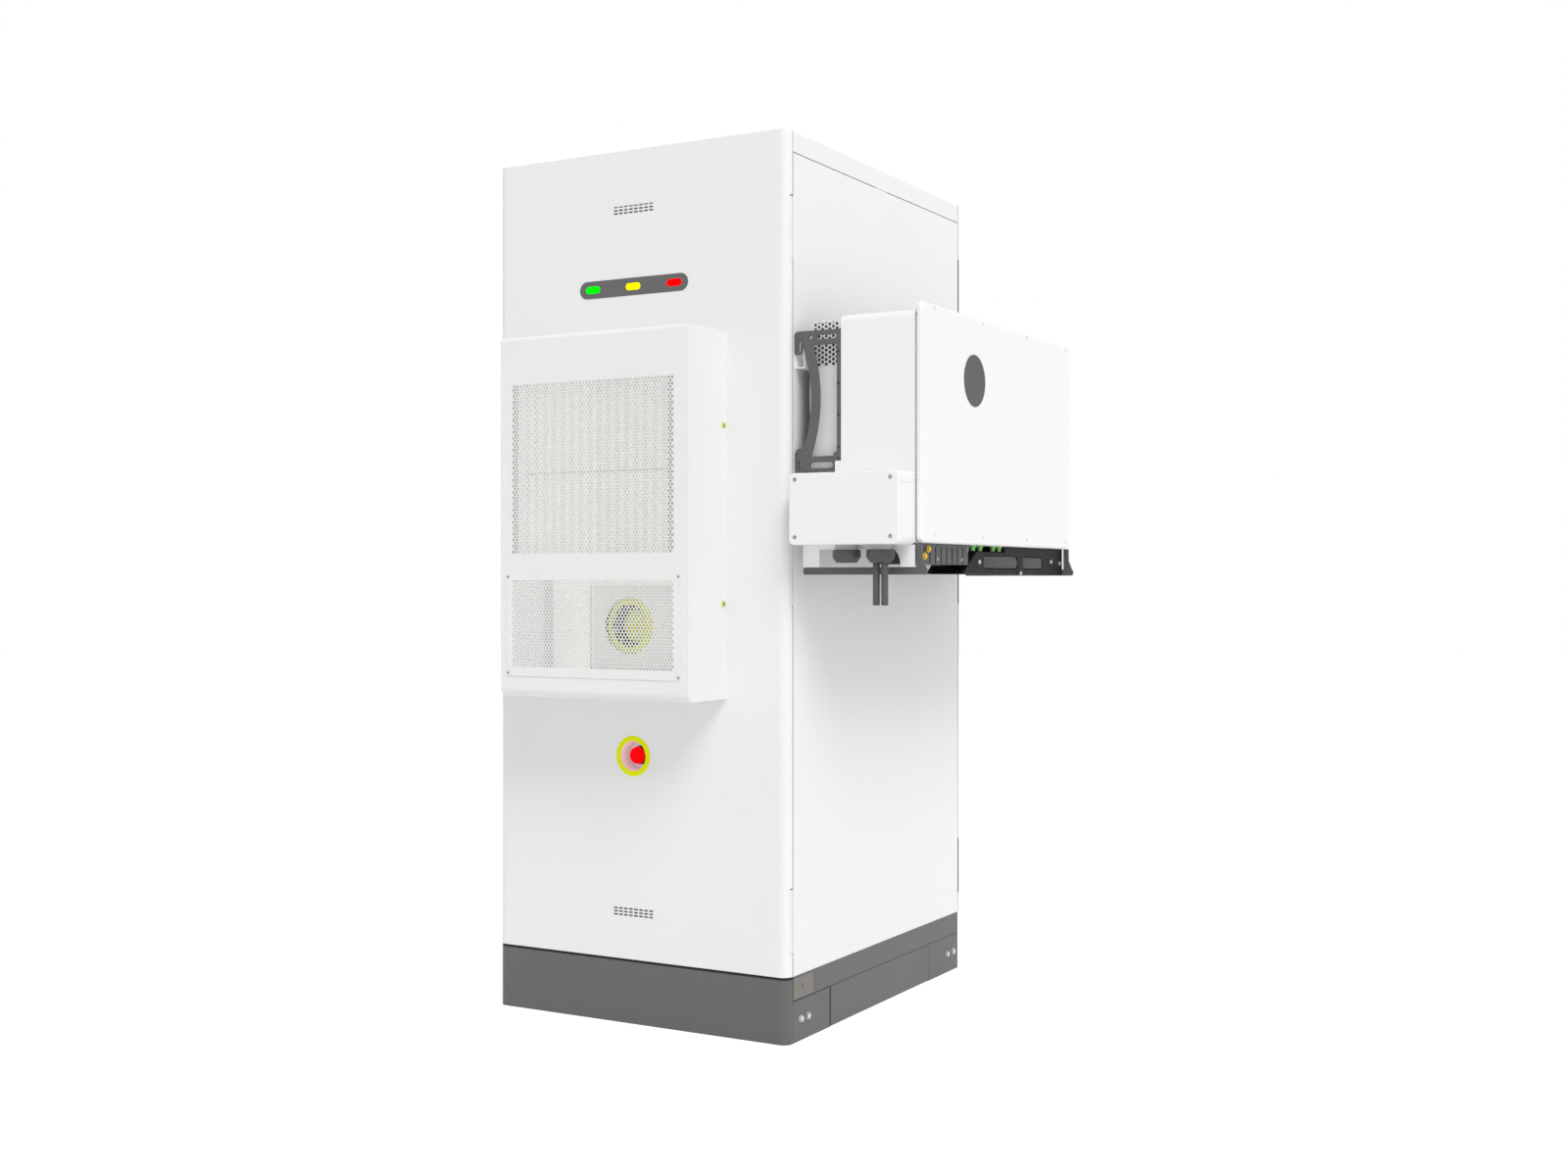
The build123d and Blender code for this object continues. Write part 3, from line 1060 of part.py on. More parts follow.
def signal_plugs():
    """Four small plugs with collars in the housing's floor."""
    plugs = []
    for y in PLUG_PLACES:
        x = UNDER_X[1] - PLUG_RADIUS - 2
        plug = rod_z(x, y, (CONVERTER_BOTTOM - 5, CONVERTER_BOTTOM), PLUG_RADIUS)
        plugs.append(plug + rod_z(x, y, (CONVERTER_BOTTOM - PLUG_HEIGHT, CONVERTER_BOTTOM - 5), PLUG_RADIUS - 2.5))
    return plugs


def ground_terminals():
    """Two earthing screws on the terminal row's face."""
    screws = []
    for y, z in ((-397.0, 1163.0), (-418.0, 1146.0)):
        plane = Plane(origin=(UNDER_X[1], y, z), x_dir=(0, 1, 0), z_dir=(1, 0, 0))
        screw = extrude(plane * Circle(8.5), 1.5)
        screws.append(screw + extrude(plane * RegularPolygon(6.5, 6), 5))
    return screws


# ---------------------------------------------------------------- all sub-parts
def build():
    """Write every sub-part to parts/."""
    os.makedirs("parts", exist_ok=True)
    save("base_frame", base_frame())
    save("corner_feet", *corner_feet())
    save("plinth_front_cover", plinth_end_cover())
    save("plinth_rear_cover", mirrored(plinth_end_cover()))
    save("plinth_side_covers", plinth_side_cover(), mirror(plinth_side_cover(), about=Plane.YZ))
    save("plinth_bolts", *plinth_bolts())
    save("earth_plate", earth_plate())
    save("floor_pan", floor_pan())
    save("corner_posts", *corner_posts())
    save("bottom_frame", frame_ring((FLOOR_TOP, FLOOR_TOP + RING_HEIGHT)))
    save("top_frame", frame_ring((PANEL_TOP - RING_HEIGHT, PANEL_TOP)))
    save("right_side_panel", side_panel())
    save("left_side_panel", mirror(side_panel(), about=Plane.YZ))
    save("roof_cap", roof_cap())
    save("door_seals", gasket(FRAME_FRONT, -1), gasket(FRAME_REAR, 1))

    front_leaves, rear_leaves, pins = [], [], []
    for middle in HINGE_HEIGHTS:
        front_leaves.append(hinge_frame_leaf(middle, FRONT_AXIS_Y, FRAME_FRONT))
        rear_leaves.append(mirrored(hinge_frame_leaf(middle, -REAR_AXIS_Y, -FRAME_REAR)))
        pins += [hinge_pin(middle, FRONT_AXIS_Y), hinge_pin(middle, REAR_AXIS_Y)]
    save("hinge_frame_leaves", *front_leaves, *rear_leaves)
    save("hinge_pins", *pins)
    save("front_hinge_door_leaves", *[hinge_door_leaf(m, FRONT_AXIS_Y, front_plate_y()) for m in HINGE_HEIGHTS])
    save("rear_hinge_door_leaves",
         *[mirrored(hinge_door_leaf(m, -REAR_AXIS_Y, rear_plate_y())) for m in HINGE_HEIGHTS])

    save("front_door_panel", front_door_panel())
    save("rear_door_panel", rear_door_panel())
    save("front_lock_handle", lock_handle(FRONT_DOOR_DEPTH))
    save("rear_lock_handle", mirrored(lock_handle(REAR_DOOR_DEPTH)))
    save("light_bar", light_bar())
    for place, name in ((-1, "green_light"), (0, "yellow_light"), (1, "red_light")):
        save(name, light_lens(place))
    save("estop_ring", estop_ring())
    save("estop_cup", estop_cup())
    save("estop_base", estop_base())
    save("estop_head", estop_head())

    save("ac_cover", ac_cover())
    save("ac_upper_grille", ac_upper_grille())
    save("ac_service_panel", ac_service_panel())
    save("ac_condenser_coil", ac_condenser_coil())
    save("ac_fan_box", ac_fan_box())
    save("ac_fan_rotor", ac_fan_rotor())
    save("ac_indoor_unit", ac_indoor_unit())

    save("battery_rack", battery_rack())
    save("battery_packs", *[battery_pack(level) for level in range(PACKS)])
    save("control_box", control_box())
    save("isolator_knob", isolator_knob())

    save("converter_wall_rails", *wall_rails())
    save("converter_front_end_frame", end_frame())
    save("converter_rear_end_frame", far_end_frame())
    save("converter_heat_sink", heat_sink())
    save("converter_vent_plates", *vent_plates())
    save("converter_housing", converter_housing())
    save("converter_cover", converter_cover())
    save("status_disc", status_disc())
    save("wiring_box", wiring_box())
    save("wiring_box_lid", wiring_box_lid())
    save("wiring_box_bracket", wiring_box_bracket())
    save("cable_glands", *[cable_gland(place) for place in GLAND_PLACES])
    save("power_cable_left", power_cable(-1))
    save("power_cable_right", power_cable(1))
    save("terminal_block", terminal_block())
    save("cable_trough", cable_trough())
    save("signal_plugs", *signal_plugs())
    save("ground_terminals", *ground_terminals())


build()
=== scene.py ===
import math

import bmesh
import bpy
from bpy.props import FloatProperty, FloatVectorProperty, IntProperty, PointerProperty
from mathutils import Euler, Matrix, Vector


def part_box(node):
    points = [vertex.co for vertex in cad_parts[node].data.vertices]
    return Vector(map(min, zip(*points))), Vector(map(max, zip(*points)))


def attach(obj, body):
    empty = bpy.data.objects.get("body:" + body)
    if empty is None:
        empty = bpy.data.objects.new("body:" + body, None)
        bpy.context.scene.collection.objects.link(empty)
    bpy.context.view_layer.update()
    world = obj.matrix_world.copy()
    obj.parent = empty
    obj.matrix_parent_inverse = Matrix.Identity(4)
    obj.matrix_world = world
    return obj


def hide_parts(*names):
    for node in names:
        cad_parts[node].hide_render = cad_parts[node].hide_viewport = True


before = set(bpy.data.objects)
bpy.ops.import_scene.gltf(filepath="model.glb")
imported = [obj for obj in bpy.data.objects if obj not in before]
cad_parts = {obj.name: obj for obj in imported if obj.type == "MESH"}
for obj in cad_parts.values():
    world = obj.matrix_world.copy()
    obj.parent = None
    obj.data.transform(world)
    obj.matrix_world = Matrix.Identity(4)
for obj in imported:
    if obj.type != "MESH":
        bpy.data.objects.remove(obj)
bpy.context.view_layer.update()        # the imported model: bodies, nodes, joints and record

bl_info = {
    "name": "Outdoor Battery Cabinet",
    "version": (1, 0, 0),
    "blender": (4, 5, 0),
    "location": "View3D > Sidebar > Cabinet",
    "description": "Finishes, perforated sheets and fasteners of the sheet-metal battery cabinet",
    "category": "Object",
}

MM = 0.001
FAN_AXIS = (0.0815, 0.984)          # X and Z of the fan's axis
HUB_REACH = 0.0405                  # radius past which the fan's blade ring begins
BLADE_FRONT = -0.640                # Y of the blade ring's front
SEAM_DOOR_Z, SEAM_DOOR_Y = 0.1515, -0.470
SEAM_TOP = 0.1003                   # top of the seams over the feet and the side covers
SEAM_FOOT_LOW, SEAM_COVER_LOW = 0.0975, 0.0985
SEAM_FOOT_Y = (-0.474, -0.2865)
SEAM_JOINT_Y = (-0.2895, -0.2815)
TO_FRONT = (math.radians(90), 0.0, 0.0)      # turns +Z to -Y
TO_RIGHT = (0.0, math.radians(90), 0.0)      # turns +Z to +X
TO_LEFT = (0.0, math.radians(-90), 0.0)


def paint_code(red, green, blue):
    """Linear colour from the 0 to 255 numbers of a paint chart."""
    def linear(value):
        value /= 255
        return value / 12.92 if value <= 0.04045 else ((value + 0.055) / 1.055) ** 2.4
    return tuple(linear(value) for value in (red, green, blue))


# ---------------------------------------------------------------- what a user may change
def length(name, description, default):
    return FloatProperty(name=name, description=description, default=default, min=0.0, unit="LENGTH",
                         subtype="DISTANCE", precision=5)


def colour(name, description, *chart):
    return FloatVectorProperty(name=name, description=description, default=paint_code(*chart), size=3,
                               min=0.0, max=1.0, subtype="COLOR")


class CabinetColours(bpy.types.PropertyGroup):
    """Finishes of the cabinet's pieces."""
    case_white: colour("Case white", "Powder coat of doors, panels and roof", 239, 239, 239)
    hood_white: colour("Hood white", "Powder coat of the air conditioner's hood", 238, 238, 237)
    converter_white: colour("Converter white", "Paint of the converter's housing and cover", 243, 243, 243)
    plinth_grey: colour("Plinth grey", "Powder coat of the plinth", 98, 98, 98)
    casting_grey: colour("Casting grey", "End frames and foot rail of the converter", 94, 95, 94)
    bar_grey: colour("Light bar grey", "Body of the status light bar", 98, 98, 99)
    vent_green: colour("Vent plate", "Pale grey-green paint behind the end frame", 238, 241, 237)
    fan_yellow: colour("Fan yellow", "Plastic of the fan wheel", 208, 214, 18)
    stop_yellow: colour("Stop yellow", "Flange of the emergency stop", 228, 236, 10)
    stop_red: colour("Stop red", "Mushroom head of the emergency stop", 240, 0, 10)


class CabinetPerforation(bpy.types.PropertyGroup):
    """Round holes of the perforated sheets."""
    hole: length("Hole", "Diameter of the holes in the hood's sheets", 6.7 * MM)
    column_pitch: length("Column pitch", "Hole to hole along a row", 9.3 * MM)
    row_pitch: length("Row pitch", "Row to row, every other row moved by half a column", 7.3 * MM)
    sides: IntProperty(name="Hole sides", description="Corners of each hole", default=10, min=6, max=24)
    vent_hole: length("Vent plate hole", "Diameter of the holes in the converter's vent plates", 7.8 * MM)
    vent_pitch: length("Vent plate pitch", "Hole to hole along a row of the vent plates", 19.0 * MM)
    vent_rows: length("Vent plate rows", "Row to row in the vent plates, every other row moved", 5.5 * MM)


class CabinetFasteners(bpy.types.PropertyGroup):
    """Screw and bolt sizes."""
    panel_screw: length("Panel screw", "Head radius of the service panel's screws", 3.4 * MM)
    hood_bolt: length("Hood bolt", "Head radius of the hood's yellow bolts", 6.0 * MM)
    lid_screw: length("Lid screw", "Head radius of the wiring box's lid screws", 5.0 * MM)
    cover_screw: length("Cover screw", "Head radius of the converter cover's screws", 4.2 * MM)
    frame_screw: length("Frame screw", "Head radius of the end frame's small screws", 2.6 * MM)
    plinth_bolt: length("Plinth bolt", "Half the width over flats of the plinth's bolts", 7.2 * MM)
    pack_screw: length("Pack screw", "Head radius of the screws on the packs' fronts", 3.6 * MM)


class CabinetStudio(bpy.types.PropertyGroup):
    """Floor, light and camera."""
    floor: length("Floor", "Side of the square floor", 40.0)
    sky: FloatProperty(name="Sky", description="Strength of the even light all round", default=0.64, min=0.0)
    key: FloatProperty(name="Key", description="Strength of the large soft lamp", default=1.42, min=0.0)
    lens: FloatProperty(name="Lens", description="Focal length in millimetres", default=40.92, min=1.0)
    camera_place: FloatVectorProperty(name="Camera", description="Where the camera stands",
                                      default=(2.4615, -4.1395, 1.088), subtype="TRANSLATION", unit="LENGTH")
    camera_turn: FloatProperty(name="Camera turn", description="Turn of the camera about the upright",
                               default=math.radians(29.34), subtype="ANGLE")


# ---------------------------------------------------------------- node helpers
def add(tree, kind, **settings):
    node = tree.nodes.new(kind)
    for key, value in settings.items():
        setattr(node, key, value)
    return node


def join(tree, source, target):
    tree.links.new(source, target)


def maths(tree, operation, first, second=None):
    node = add(tree, "ShaderNodeMath", operation=operation)
    for socket, value in zip(node.inputs, (first, second)):
        if isinstance(value, (int, float)):
            socket.default_value = value
        elif value is not None:
            join(tree, value, socket)
    return node.outputs[0]


def blend(tree, factor, first, second, mode="MIX"):
    """Mix of two colours, given as sockets or as plain colours."""
    node = add(tree, "ShaderNodeMix", data_type="RGBA", blend_type=mode)
    for index, value in ((0, factor), (6, first), (7, second)):
        if isinstance(value, bpy.types.NodeSocket):
            join(tree, value, node.inputs[index])
        elif isinstance(value, (int, float)):
            node.inputs[index].default_value = value
        else:
            node.inputs[index].default_value = (*value, 1.0)
    return node.outputs[2]


def spread(tree, value, low, high, to_low=0.0, to_high=1.0):
    """The value's range from low to high, drawn out to another range."""
    node = add(tree, "ShaderNodeMapRange")
    join(tree, value, node.inputs["Value"])
    for name, number in (("From Min", low), ("From Max", high), ("To Min", to_low), ("To Max", to_high)):
        node.inputs[name].default_value = number
    return node.outputs["Result"]


def effect(name, inputs, outputs):
    """An empty shader group with named float inputs and named outputs."""
    tree = bpy.data.node_groups.new(name, "ShaderNodeTree")
    for label, default in inputs:
        socket = tree.interface.new_socket(label, in_out="INPUT", socket_type="NodeSocketFloat")
        socket.default_value = default
    for label, kind in outputs:
        tree.interface.new_socket(label, in_out="OUTPUT", socket_type=kind)
    return tree, add(tree, "NodeGroupInput"), add(tree, "NodeGroupOutput")


def noise(tree, vector, scale, detail=2.0, roughness=0.5):
    node = add(tree, "ShaderNodeTexNoise")
    join(tree, vector, node.inputs["Vector"])
    if isinstance(scale, (int, float)):
        node.inputs["Scale"].default_value = scale
    else:
        join(tree, scale, node.inputs["Scale"])
    node.inputs["Detail"].default_value = detail
    node.inputs["Roughness"].default_value = roughness
    return node.outputs["Fac"]


# ---------------------------------------------------------------- shared effects
def orange_peel():
    """Fine waviness of a powder coat, and a slow unevenness of its tone."""
    tree, given, result = effect("Orange peel", (("Grain", 700.0), ("Cloud", 2.5)),
                                 (("Height", "NodeSocketFloat"), ("Tone", "NodeSocketFloat")))
    place = add(tree, "ShaderNodeTexCoord").outputs["Object"]
    join(tree, noise(tree, place, given.outputs["Grain"], 1.0), result.inputs["Height"])
    join(tree, spread(tree, noise(tree, place, given.outputs["Cloud"], 3.0), 0.3, 0.7), result.inputs["Tone"])
    return tree


def worn_edge():
    """Where an edge is rubbed: a broken line along sharp corners, and the rounded normal."""
    tree, given, result = effect("Worn edge", (("Radius", 0.0015), ("Breaks", 60.0)),
                                 (("Edge", "NodeSocketFloat"), ("Rounded", "NodeSocketVector")))
    rounded = add(tree, "ShaderNodeBevel", samples=4)
    join(tree, given.outputs["Radius"], rounded.inputs["Radius"])
    flat = add(tree, "ShaderNodeNewGeometry").outputs["Normal"]
    dot = add(tree, "ShaderNodeVectorMath", operation="DOT_PRODUCT")
    join(tree, rounded.outputs["Normal"], dot.inputs[0])
    join(tree, flat, dot.inputs[1])
    turned = spread(tree, dot.outputs["Value"], 0.99, 0.80)
    place = add(tree, "ShaderNodeTexCoord").outputs["Object"]
    broken = spread(tree, noise(tree, place, given.outputs["Breaks"], 4.0), 0.42, 0.58)
    join(tree, maths(tree, "MULTIPLY", turned, broken), result.inputs["Edge"])
    join(tree, rounded.outputs["Normal"], result.inputs["Rounded"])
    return tree


def settled_dust():
    """Dust on upward faces and a faint soiling towards the floor."""
    tree, given, result = effect("Settled dust", (("Speckle", 35.0),), (("Dust", "NodeSocketFloat"),))
    place = add(tree, "ShaderNodeTexCoord").outputs["Object"]
    split = add(tree, "ShaderNodeSeparateXYZ")
    join(tree, place, split.inputs[0])
    low = spread(tree, split.outputs["Z"], 0.35, 0.0)
    facing = add(tree, "ShaderNodeSeparateXYZ")
    join(tree, add(tree, "ShaderNodeNewGeometry").outputs["Normal"], facing.inputs[0])
    upward = spread(tree, facing.outputs["Z"], 0.6, 1.0)
    either = maths(tree, "MAXIMUM", low, upward)
    speckle = spread(tree, noise(tree, place, given.outputs["Speckle"], 5.0, 0.6), 0.4, 0.75)
    join(tree, maths(tree, "MULTIPLY", either, speckle), result.inputs["Dust"])
    return tree


def drawn_grain():
    """Fine lines that rolling or brushing leaves in bare metal."""
    tree, given, result = effect("Drawn grain", (("Lines", 220.0), ("Stretch", 0.03)),
                                 (("Height", "NodeSocketFloat"), ("Tone", "NodeSocketFloat")))
    place = add(tree, "ShaderNodeTexCoord").outputs["Object"]
    size = add(tree, "ShaderNodeCombineXYZ")
    size.inputs[0].default_value = size.inputs[1].default_value = 1.0
    join(tree, given.outputs["Stretch"], size.inputs[2])
    pulled = add(tree, "ShaderNodeVectorMath", operation="MULTIPLY")
    join(tree, place, pulled.inputs[0])
    join(tree, size.outputs[0], pulled.inputs[1])
    lines = noise(tree, pulled.outputs["Vector"], given.outputs["Lines"], 2.0)
    join(tree, lines, result.inputs["Height"])
    join(tree, spread(tree, lines, 0.3, 0.7), result.inputs["Tone"])
    return tree


def spangle():
    """Crystal pattern of hot-dip zinc."""
    tree, given, result = effect("Zinc spangle", (("Crystals", 90.0),), (("Tone", "NodeSocketFloat"),))
    cells = add(tree, "ShaderNodeTexVoronoi", feature="F1")
    join(tree, add(tree, "ShaderNodeTexCoord").outputs["Object"], cells.inputs["Vector"])
    join(tree, given.outputs["Crystals"], cells.inputs["Scale"])
    parts = add(tree, "ShaderNodeSeparateColor")
    join(tree, cells.outputs["Color"], parts.inputs[0])
    join(tree, parts.outputs[0], result.inputs["Tone"])
    return tree


EFFECTS = {}


def use(tree, name, **values):
    """Place a shared effect in a material with its own values."""
    if name not in EFFECTS:
        makers = {"peel": orange_peel, "edge": worn_edge, "dust": settled_dust, "grain": drawn_grain,
                  "spangle": spangle}
        EFFECTS[name] = makers[name]()
    node = add(tree, "ShaderNodeGroup", node_tree=EFFECTS[name])
    for key, value in values.items():
        node.inputs[key].default_value = value
    return node


# ---------------------------------------------------------------- finishes
FINISHES = {}


def start(name, metallic=0.0, coat=0.0, coat_roughness=0.1, specular=0.5):
    """A new material with its Principled shader's constant sockets set."""
    material = bpy.data.materials.new(name)
    material.use_nodes = True
    tree = material.node_tree
    shader = tree.nodes["Principled BSDF"]
    shader.inputs["Metallic"].default_value = metallic
    shader.inputs["Coat Weight"].default_value = coat
    shader.inputs["Coat Roughness"].default_value = coat_roughness
    shader.inputs["Specular IOR Level"].default_value = specular
    FINISHES[name] = material
    return tree, shader


def raise_surface(tree, shader, height, strength, distance, rounded=None):
    bump = add(tree, "ShaderNodeBump")
    bump.inputs["Strength"].default_value = strength
    bump.inputs["Distance"].default_value = distance
    join(tree, height, bump.inputs["Height"])
    if rounded is not None:
        join(tree, rounded, bump.inputs["Normal"])
    join(tree, bump.outputs["Normal"], shader.inputs["Normal"])


def darker(shade, amount):
    return tuple(value * amount for value in shade)


def powder_coat(name, shade, roughness=0.42, grain=700.0, depth=0.10, radius=0.0015, wear=0.12, tone=0.985,
                worn=None, dust=0.05, seam_shadows=False, painted_inner_light=0.0):
    """Painted sheet or casting: orange peel, slightly uneven tone, rubbed edges and a little dust. Optionally
    painted shadow lines in the plinth's gaps and painted light on the hood's inner face.
    """
    tree, shader = start(name, specular=0.4)
    peel = use(tree, "peel", Grain=grain, Cloud=2.5)
    edge = use(tree, "edge", Radius=radius, Breaks=45.0)
    soil = use(tree, "dust", Speckle=35.0)
    paint = blend(tree, peel.outputs["Tone"], darker(shade, tone), shade)
    rubbed = maths(tree, "MULTIPLY", edge.outputs["Edge"], wear)
    paint = blend(tree, rubbed, paint, worn or darker(shade, 0.7))
    paint = blend(tree, maths(tree, "MULTIPLY", soil.outputs["Dust"], dust), paint, paint_code(150, 146, 140))
    if seam_shadows:
        # painted shadow, near black, in the plinth's gaps
        paint = blend(tree, plinth_seam_shadows(tree), paint, paint_code(22, 22, 22))
    join(tree, paint, shader.inputs["Base Color"])
    # painted light on the hood's inner face on the left, where light comes in through the holes
    if painted_inner_light:
        join(tree, paint, shader.inputs["Emission Color"])
        join(tree, maths(tree, "MULTIPLY", inner_left(tree), painted_inner_light), shader.inputs["Emission Strength"])
    join(tree, spread(tree, peel.outputs["Tone"], 0.0, 1.0, roughness - 0.04, roughness + 0.05),
         shader.inputs["Roughness"])
    raise_surface(tree, shader, peel.outputs["Height"], depth, 0.0003, edge.outputs["Rounded"])


def axes(tree):
    """X, Y and Z of the Object coordinates."""
    split = add(tree, "ShaderNodeSeparateXYZ")
    join(tree, add(tree, "ShaderNodeTexCoord").outputs["Object"], split.inputs[0])
    return split


def between(tree, value, low, high):
    """Mask of the values from low to high."""
    above, below = maths(tree, "GREATER_THAN", value, low), maths(tree, "LESS_THAN", value, high)
    return maths(tree, "MULTIPLY", above, below)


def painted_glow(tree, shader, tone, strength):
    """Painted light: let a finish give off some of its own tone, though it is no lamp."""
    join(tree, tone, shader.inputs["Emission Color"])
    shader.inputs["Emission Strength"].default_value = strength


def inner_left(tree):
    """Mask of faces on the left half that point along the world's +X, where painted light is added.

    At rest that is the hood's inner face. With the door open it is also the hood's front.
    """
    facing = add(tree, "ShaderNodeSeparateXYZ")
    join(tree, add(tree, "ShaderNodeNewGeometry").outputs["Normal"], facing.inputs[0])
    split = axes(tree)
    return maths(tree, "MULTIPLY", maths(tree, "GREATER_THAN", facing.outputs["X"], 0.9),
                 maths(tree, "LESS_THAN", split.outputs["X"], 0.0))


def plinth_seam_shadows(tree):
    """Mask of the painted shadow lines: under the front door, over each foot and before the side cover."""
    split = axes(tree)
    y, z = split.outputs["Y"], split.outputs["Z"]
    below_door = maths(tree, "GREATER_THAN", z, SEAM_DOOR_Z)
    door = maths(tree, "MULTIPLY", below_door, maths(tree, "LESS_THAN", y, SEAM_DOOR_Y))
    foot = maths(tree, "MULTIPLY", between(tree, z, SEAM_FOOT_LOW, SEAM_TOP), between(tree, y, *SEAM_FOOT_Y))
    behind = maths(tree, "GREATER_THAN", y, SEAM_FOOT_Y[1])
    rear = maths(tree, "MULTIPLY", between(tree, z, SEAM_COVER_LOW, SEAM_TOP), behind)
    seam_shade = maths(tree, "MULTIPLY", maths(tree, "LESS_THAN", z, SEAM_TOP), between(tree, y, *SEAM_JOINT_Y))
    return maths(tree, "MAXIMUM", maths(tree, "MAXIMUM", door, foot), maths(tree, "MAXIMUM", rear, seam_shade))


def bare_metal(name, shade, roughness=0.35, lines=220.0, stretch=0.03, tone=0.75, radius=0.0006):
    """Zinc, aluminium or bronze with its drawn grain."""
    tree, shader = start(name, metallic=1.0)
    grain = use(tree, "grain", Lines=lines, Stretch=stretch)
    edge = use(tree, "edge", Radius=radius, Breaks=120.0)
    metal = blend(tree, grain.outputs["Tone"], darker(shade, tone), shade)
    metal = blend(tree, maths(tree, "MULTIPLY", edge.outputs["Edge"], 0.4), metal, (0.9, 0.9, 0.88))
    join(tree, metal, shader.inputs["Base Color"])
    join(tree, spread(tree, grain.outputs["Tone"], 0.0, 1.0, roughness - 0.08, roughness + 0.12),
         shader.inputs["Roughness"])
    raise_surface(tree, shader, grain.outputs["Height"], 0.08, 0.0002, edge.outputs["Rounded"])


def zinc_sheet(name, shade, roughness=0.4, crystals=90.0):
    """Hot-dip galvanised sheet."""
    tree, shader = start(name, metallic=1.0)
    crystal = use(tree, "spangle", Crystals=crystals)
    soil = use(tree, "dust", Speckle=60.0)
    metal = blend(tree, crystal.outputs["Tone"], darker(shade, 0.74), shade)
    metal = blend(tree, maths(tree, "MULTIPLY", soil.outputs["Dust"], 0.2), metal, paint_code(170, 165, 158))
    join(tree, metal, shader.inputs["Base Color"])
    join(tree, spread(tree, crystal.outputs["Tone"], 0.0, 1.0, roughness - 0.1, roughness + 0.15),
         shader.inputs["Roughness"])
    raise_surface(tree, shader, crystal.outputs["Tone"], 0.05, 0.0002)


def moulded(name, shade, roughness=0.5, grain=1600.0, depth=0.15, coat=0.0, radius=0.0008, tone=0.93,
            specular=0.45, glow=0.0):
    """Moulded plastic or rubber with a fine sparked texture, and an optional painted glow."""
    tree, shader = start(name, coat=coat, coat_roughness=0.15, specular=specular)
    peel = use(tree, "peel", Grain=grain, Cloud=9.0)
    edge = use(tree, "edge", Radius=radius, Breaks=90.0)
    plastic = blend(tree, peel.outputs["Tone"], darker(shade, tone), shade)
    pale = tuple(min(1.0, value * 1.35 + 0.01) for value in shade)
    plastic = blend(tree, maths(tree, "MULTIPLY", edge.outputs["Edge"], 0.25), plastic, pale)
    join(tree, plastic, shader.inputs["Base Color"])
    if glow:
        # painted light: the plastic glows though it is no lamp
        painted_glow(tree, shader, plastic, glow)
    join(tree, spread(tree, peel.outputs["Tone"], 0.0, 1.0, roughness - 0.05, roughness + 0.06),
         shader.inputs["Roughness"])
    raise_surface(tree, shader, peel.outputs["Height"], depth, 0.0002, edge.outputs["Rounded"])


def lamp_lens(name, shade, glow):
    """Coloured lens with fine upright flutes, lit from behind."""
    tree, shader = start(name, specular=0.02)
    place = add(tree, "ShaderNodeTexCoord").outputs["Object"]
    flutes = add(tree, "ShaderNodeTexWave", wave_type="BANDS", bands_direction="X")
    flutes.inputs["Scale"].default_value = 160.0
    join(tree, place, flutes.inputs["Vector"])
    body = blend(tree, flutes.outputs["Fac"], darker(shade, 0.9), shade)
    join(tree, body, shader.inputs["Base Color"])
    join(tree, body, shader.inputs["Emission Color"])
    shader.inputs["Emission Strength"].default_value = glow
    join(tree, spread(tree, flutes.outputs["Fac"], 0.0, 1.0, 0.22, 0.3), shader.inputs["Roughness"])
    raise_surface(tree, shader, flutes.outputs["Fac"], 0.15, 0.0003)


def fin_pack(name, shade):
    """Edges of thin aluminium fins, with the tone changing from fin to fin; the end channels are darkened with
    painted shade and the whole gets a painted glow.
    """
    tree, shader = start(name, specular=0.3)
    place = add(tree, "ShaderNodeTexCoord").outputs["Object"]
    rows = add(tree, "ShaderNodeTexWave", wave_type="BANDS", bands_direction="X", wave_profile="SIN")
    rows.inputs["Scale"].default_value = 110.0
    rows.inputs["Distortion"].default_value = 0.4
    join(tree, place, rows.inputs["Vector"])
    cloud = spread(tree, noise(tree, place, 14.0, 4.0), 0.3, 0.7)
    tone = blend(tree, rows.outputs["Fac"], darker(shade, 0.84), shade)
    tone = blend(tree, maths(tree, "MULTIPLY", cloud, 0.08), tone, paint_code(168, 166, 160))
    across = add(tree, "ShaderNodeSeparateXYZ")
    join(tree, place, across.inputs[0])
    channel_shade = maths(tree, "MAXIMUM", maths(tree, "LESS_THAN", across.outputs["X"], -0.2305),
                    maths(tree, "GREATER_THAN", across.outputs["X"], 0.2035))
    # painted shade on the coil's end channels, left and right
    tone = blend(tree, channel_shade, tone, paint_code(176, 176, 173))
    join(tree, tone, shader.inputs["Base Color"])
    # painted light: the fins glow
    painted_glow(tree, shader, tone, 0.22)
    join(tree, spread(tree, cloud, 0.0, 1.0, 0.45, 0.6), shader.inputs["Roughness"])
    raise_surface(tree, shader, rows.outputs["Fac"], 0.4, 0.0008)


def lit_cavity(name, shade, glow, seam_shade=None):
    """Pale zinc inside the hood; glow stands for the light that the holes let through, and left of a given X
    the zinc is darkened with painted shade.
    """
    tree, shader = start(name, specular=0.2)
    crystal = use(tree, "spangle", Crystals=140.0)
    metal = blend(tree, crystal.outputs["Tone"], darker(shade, 0.93), shade)
    if seam_shade is not None:
        # painted shade on the fan box's side, left of the given X
        shaded_side = maths(tree, "LESS_THAN", axes(tree).outputs["X"], seam_shade)
        metal = blend(tree, shaded_side, metal, paint_code(96, 96, 94))
    join(tree, metal, shader.inputs["Base Color"])
    painted_glow(tree, shader, metal, glow)
    join(tree, spread(tree, crystal.outputs["Tone"], 0.0, 1.0, 0.5, 0.6), shader.inputs["Roughness"])


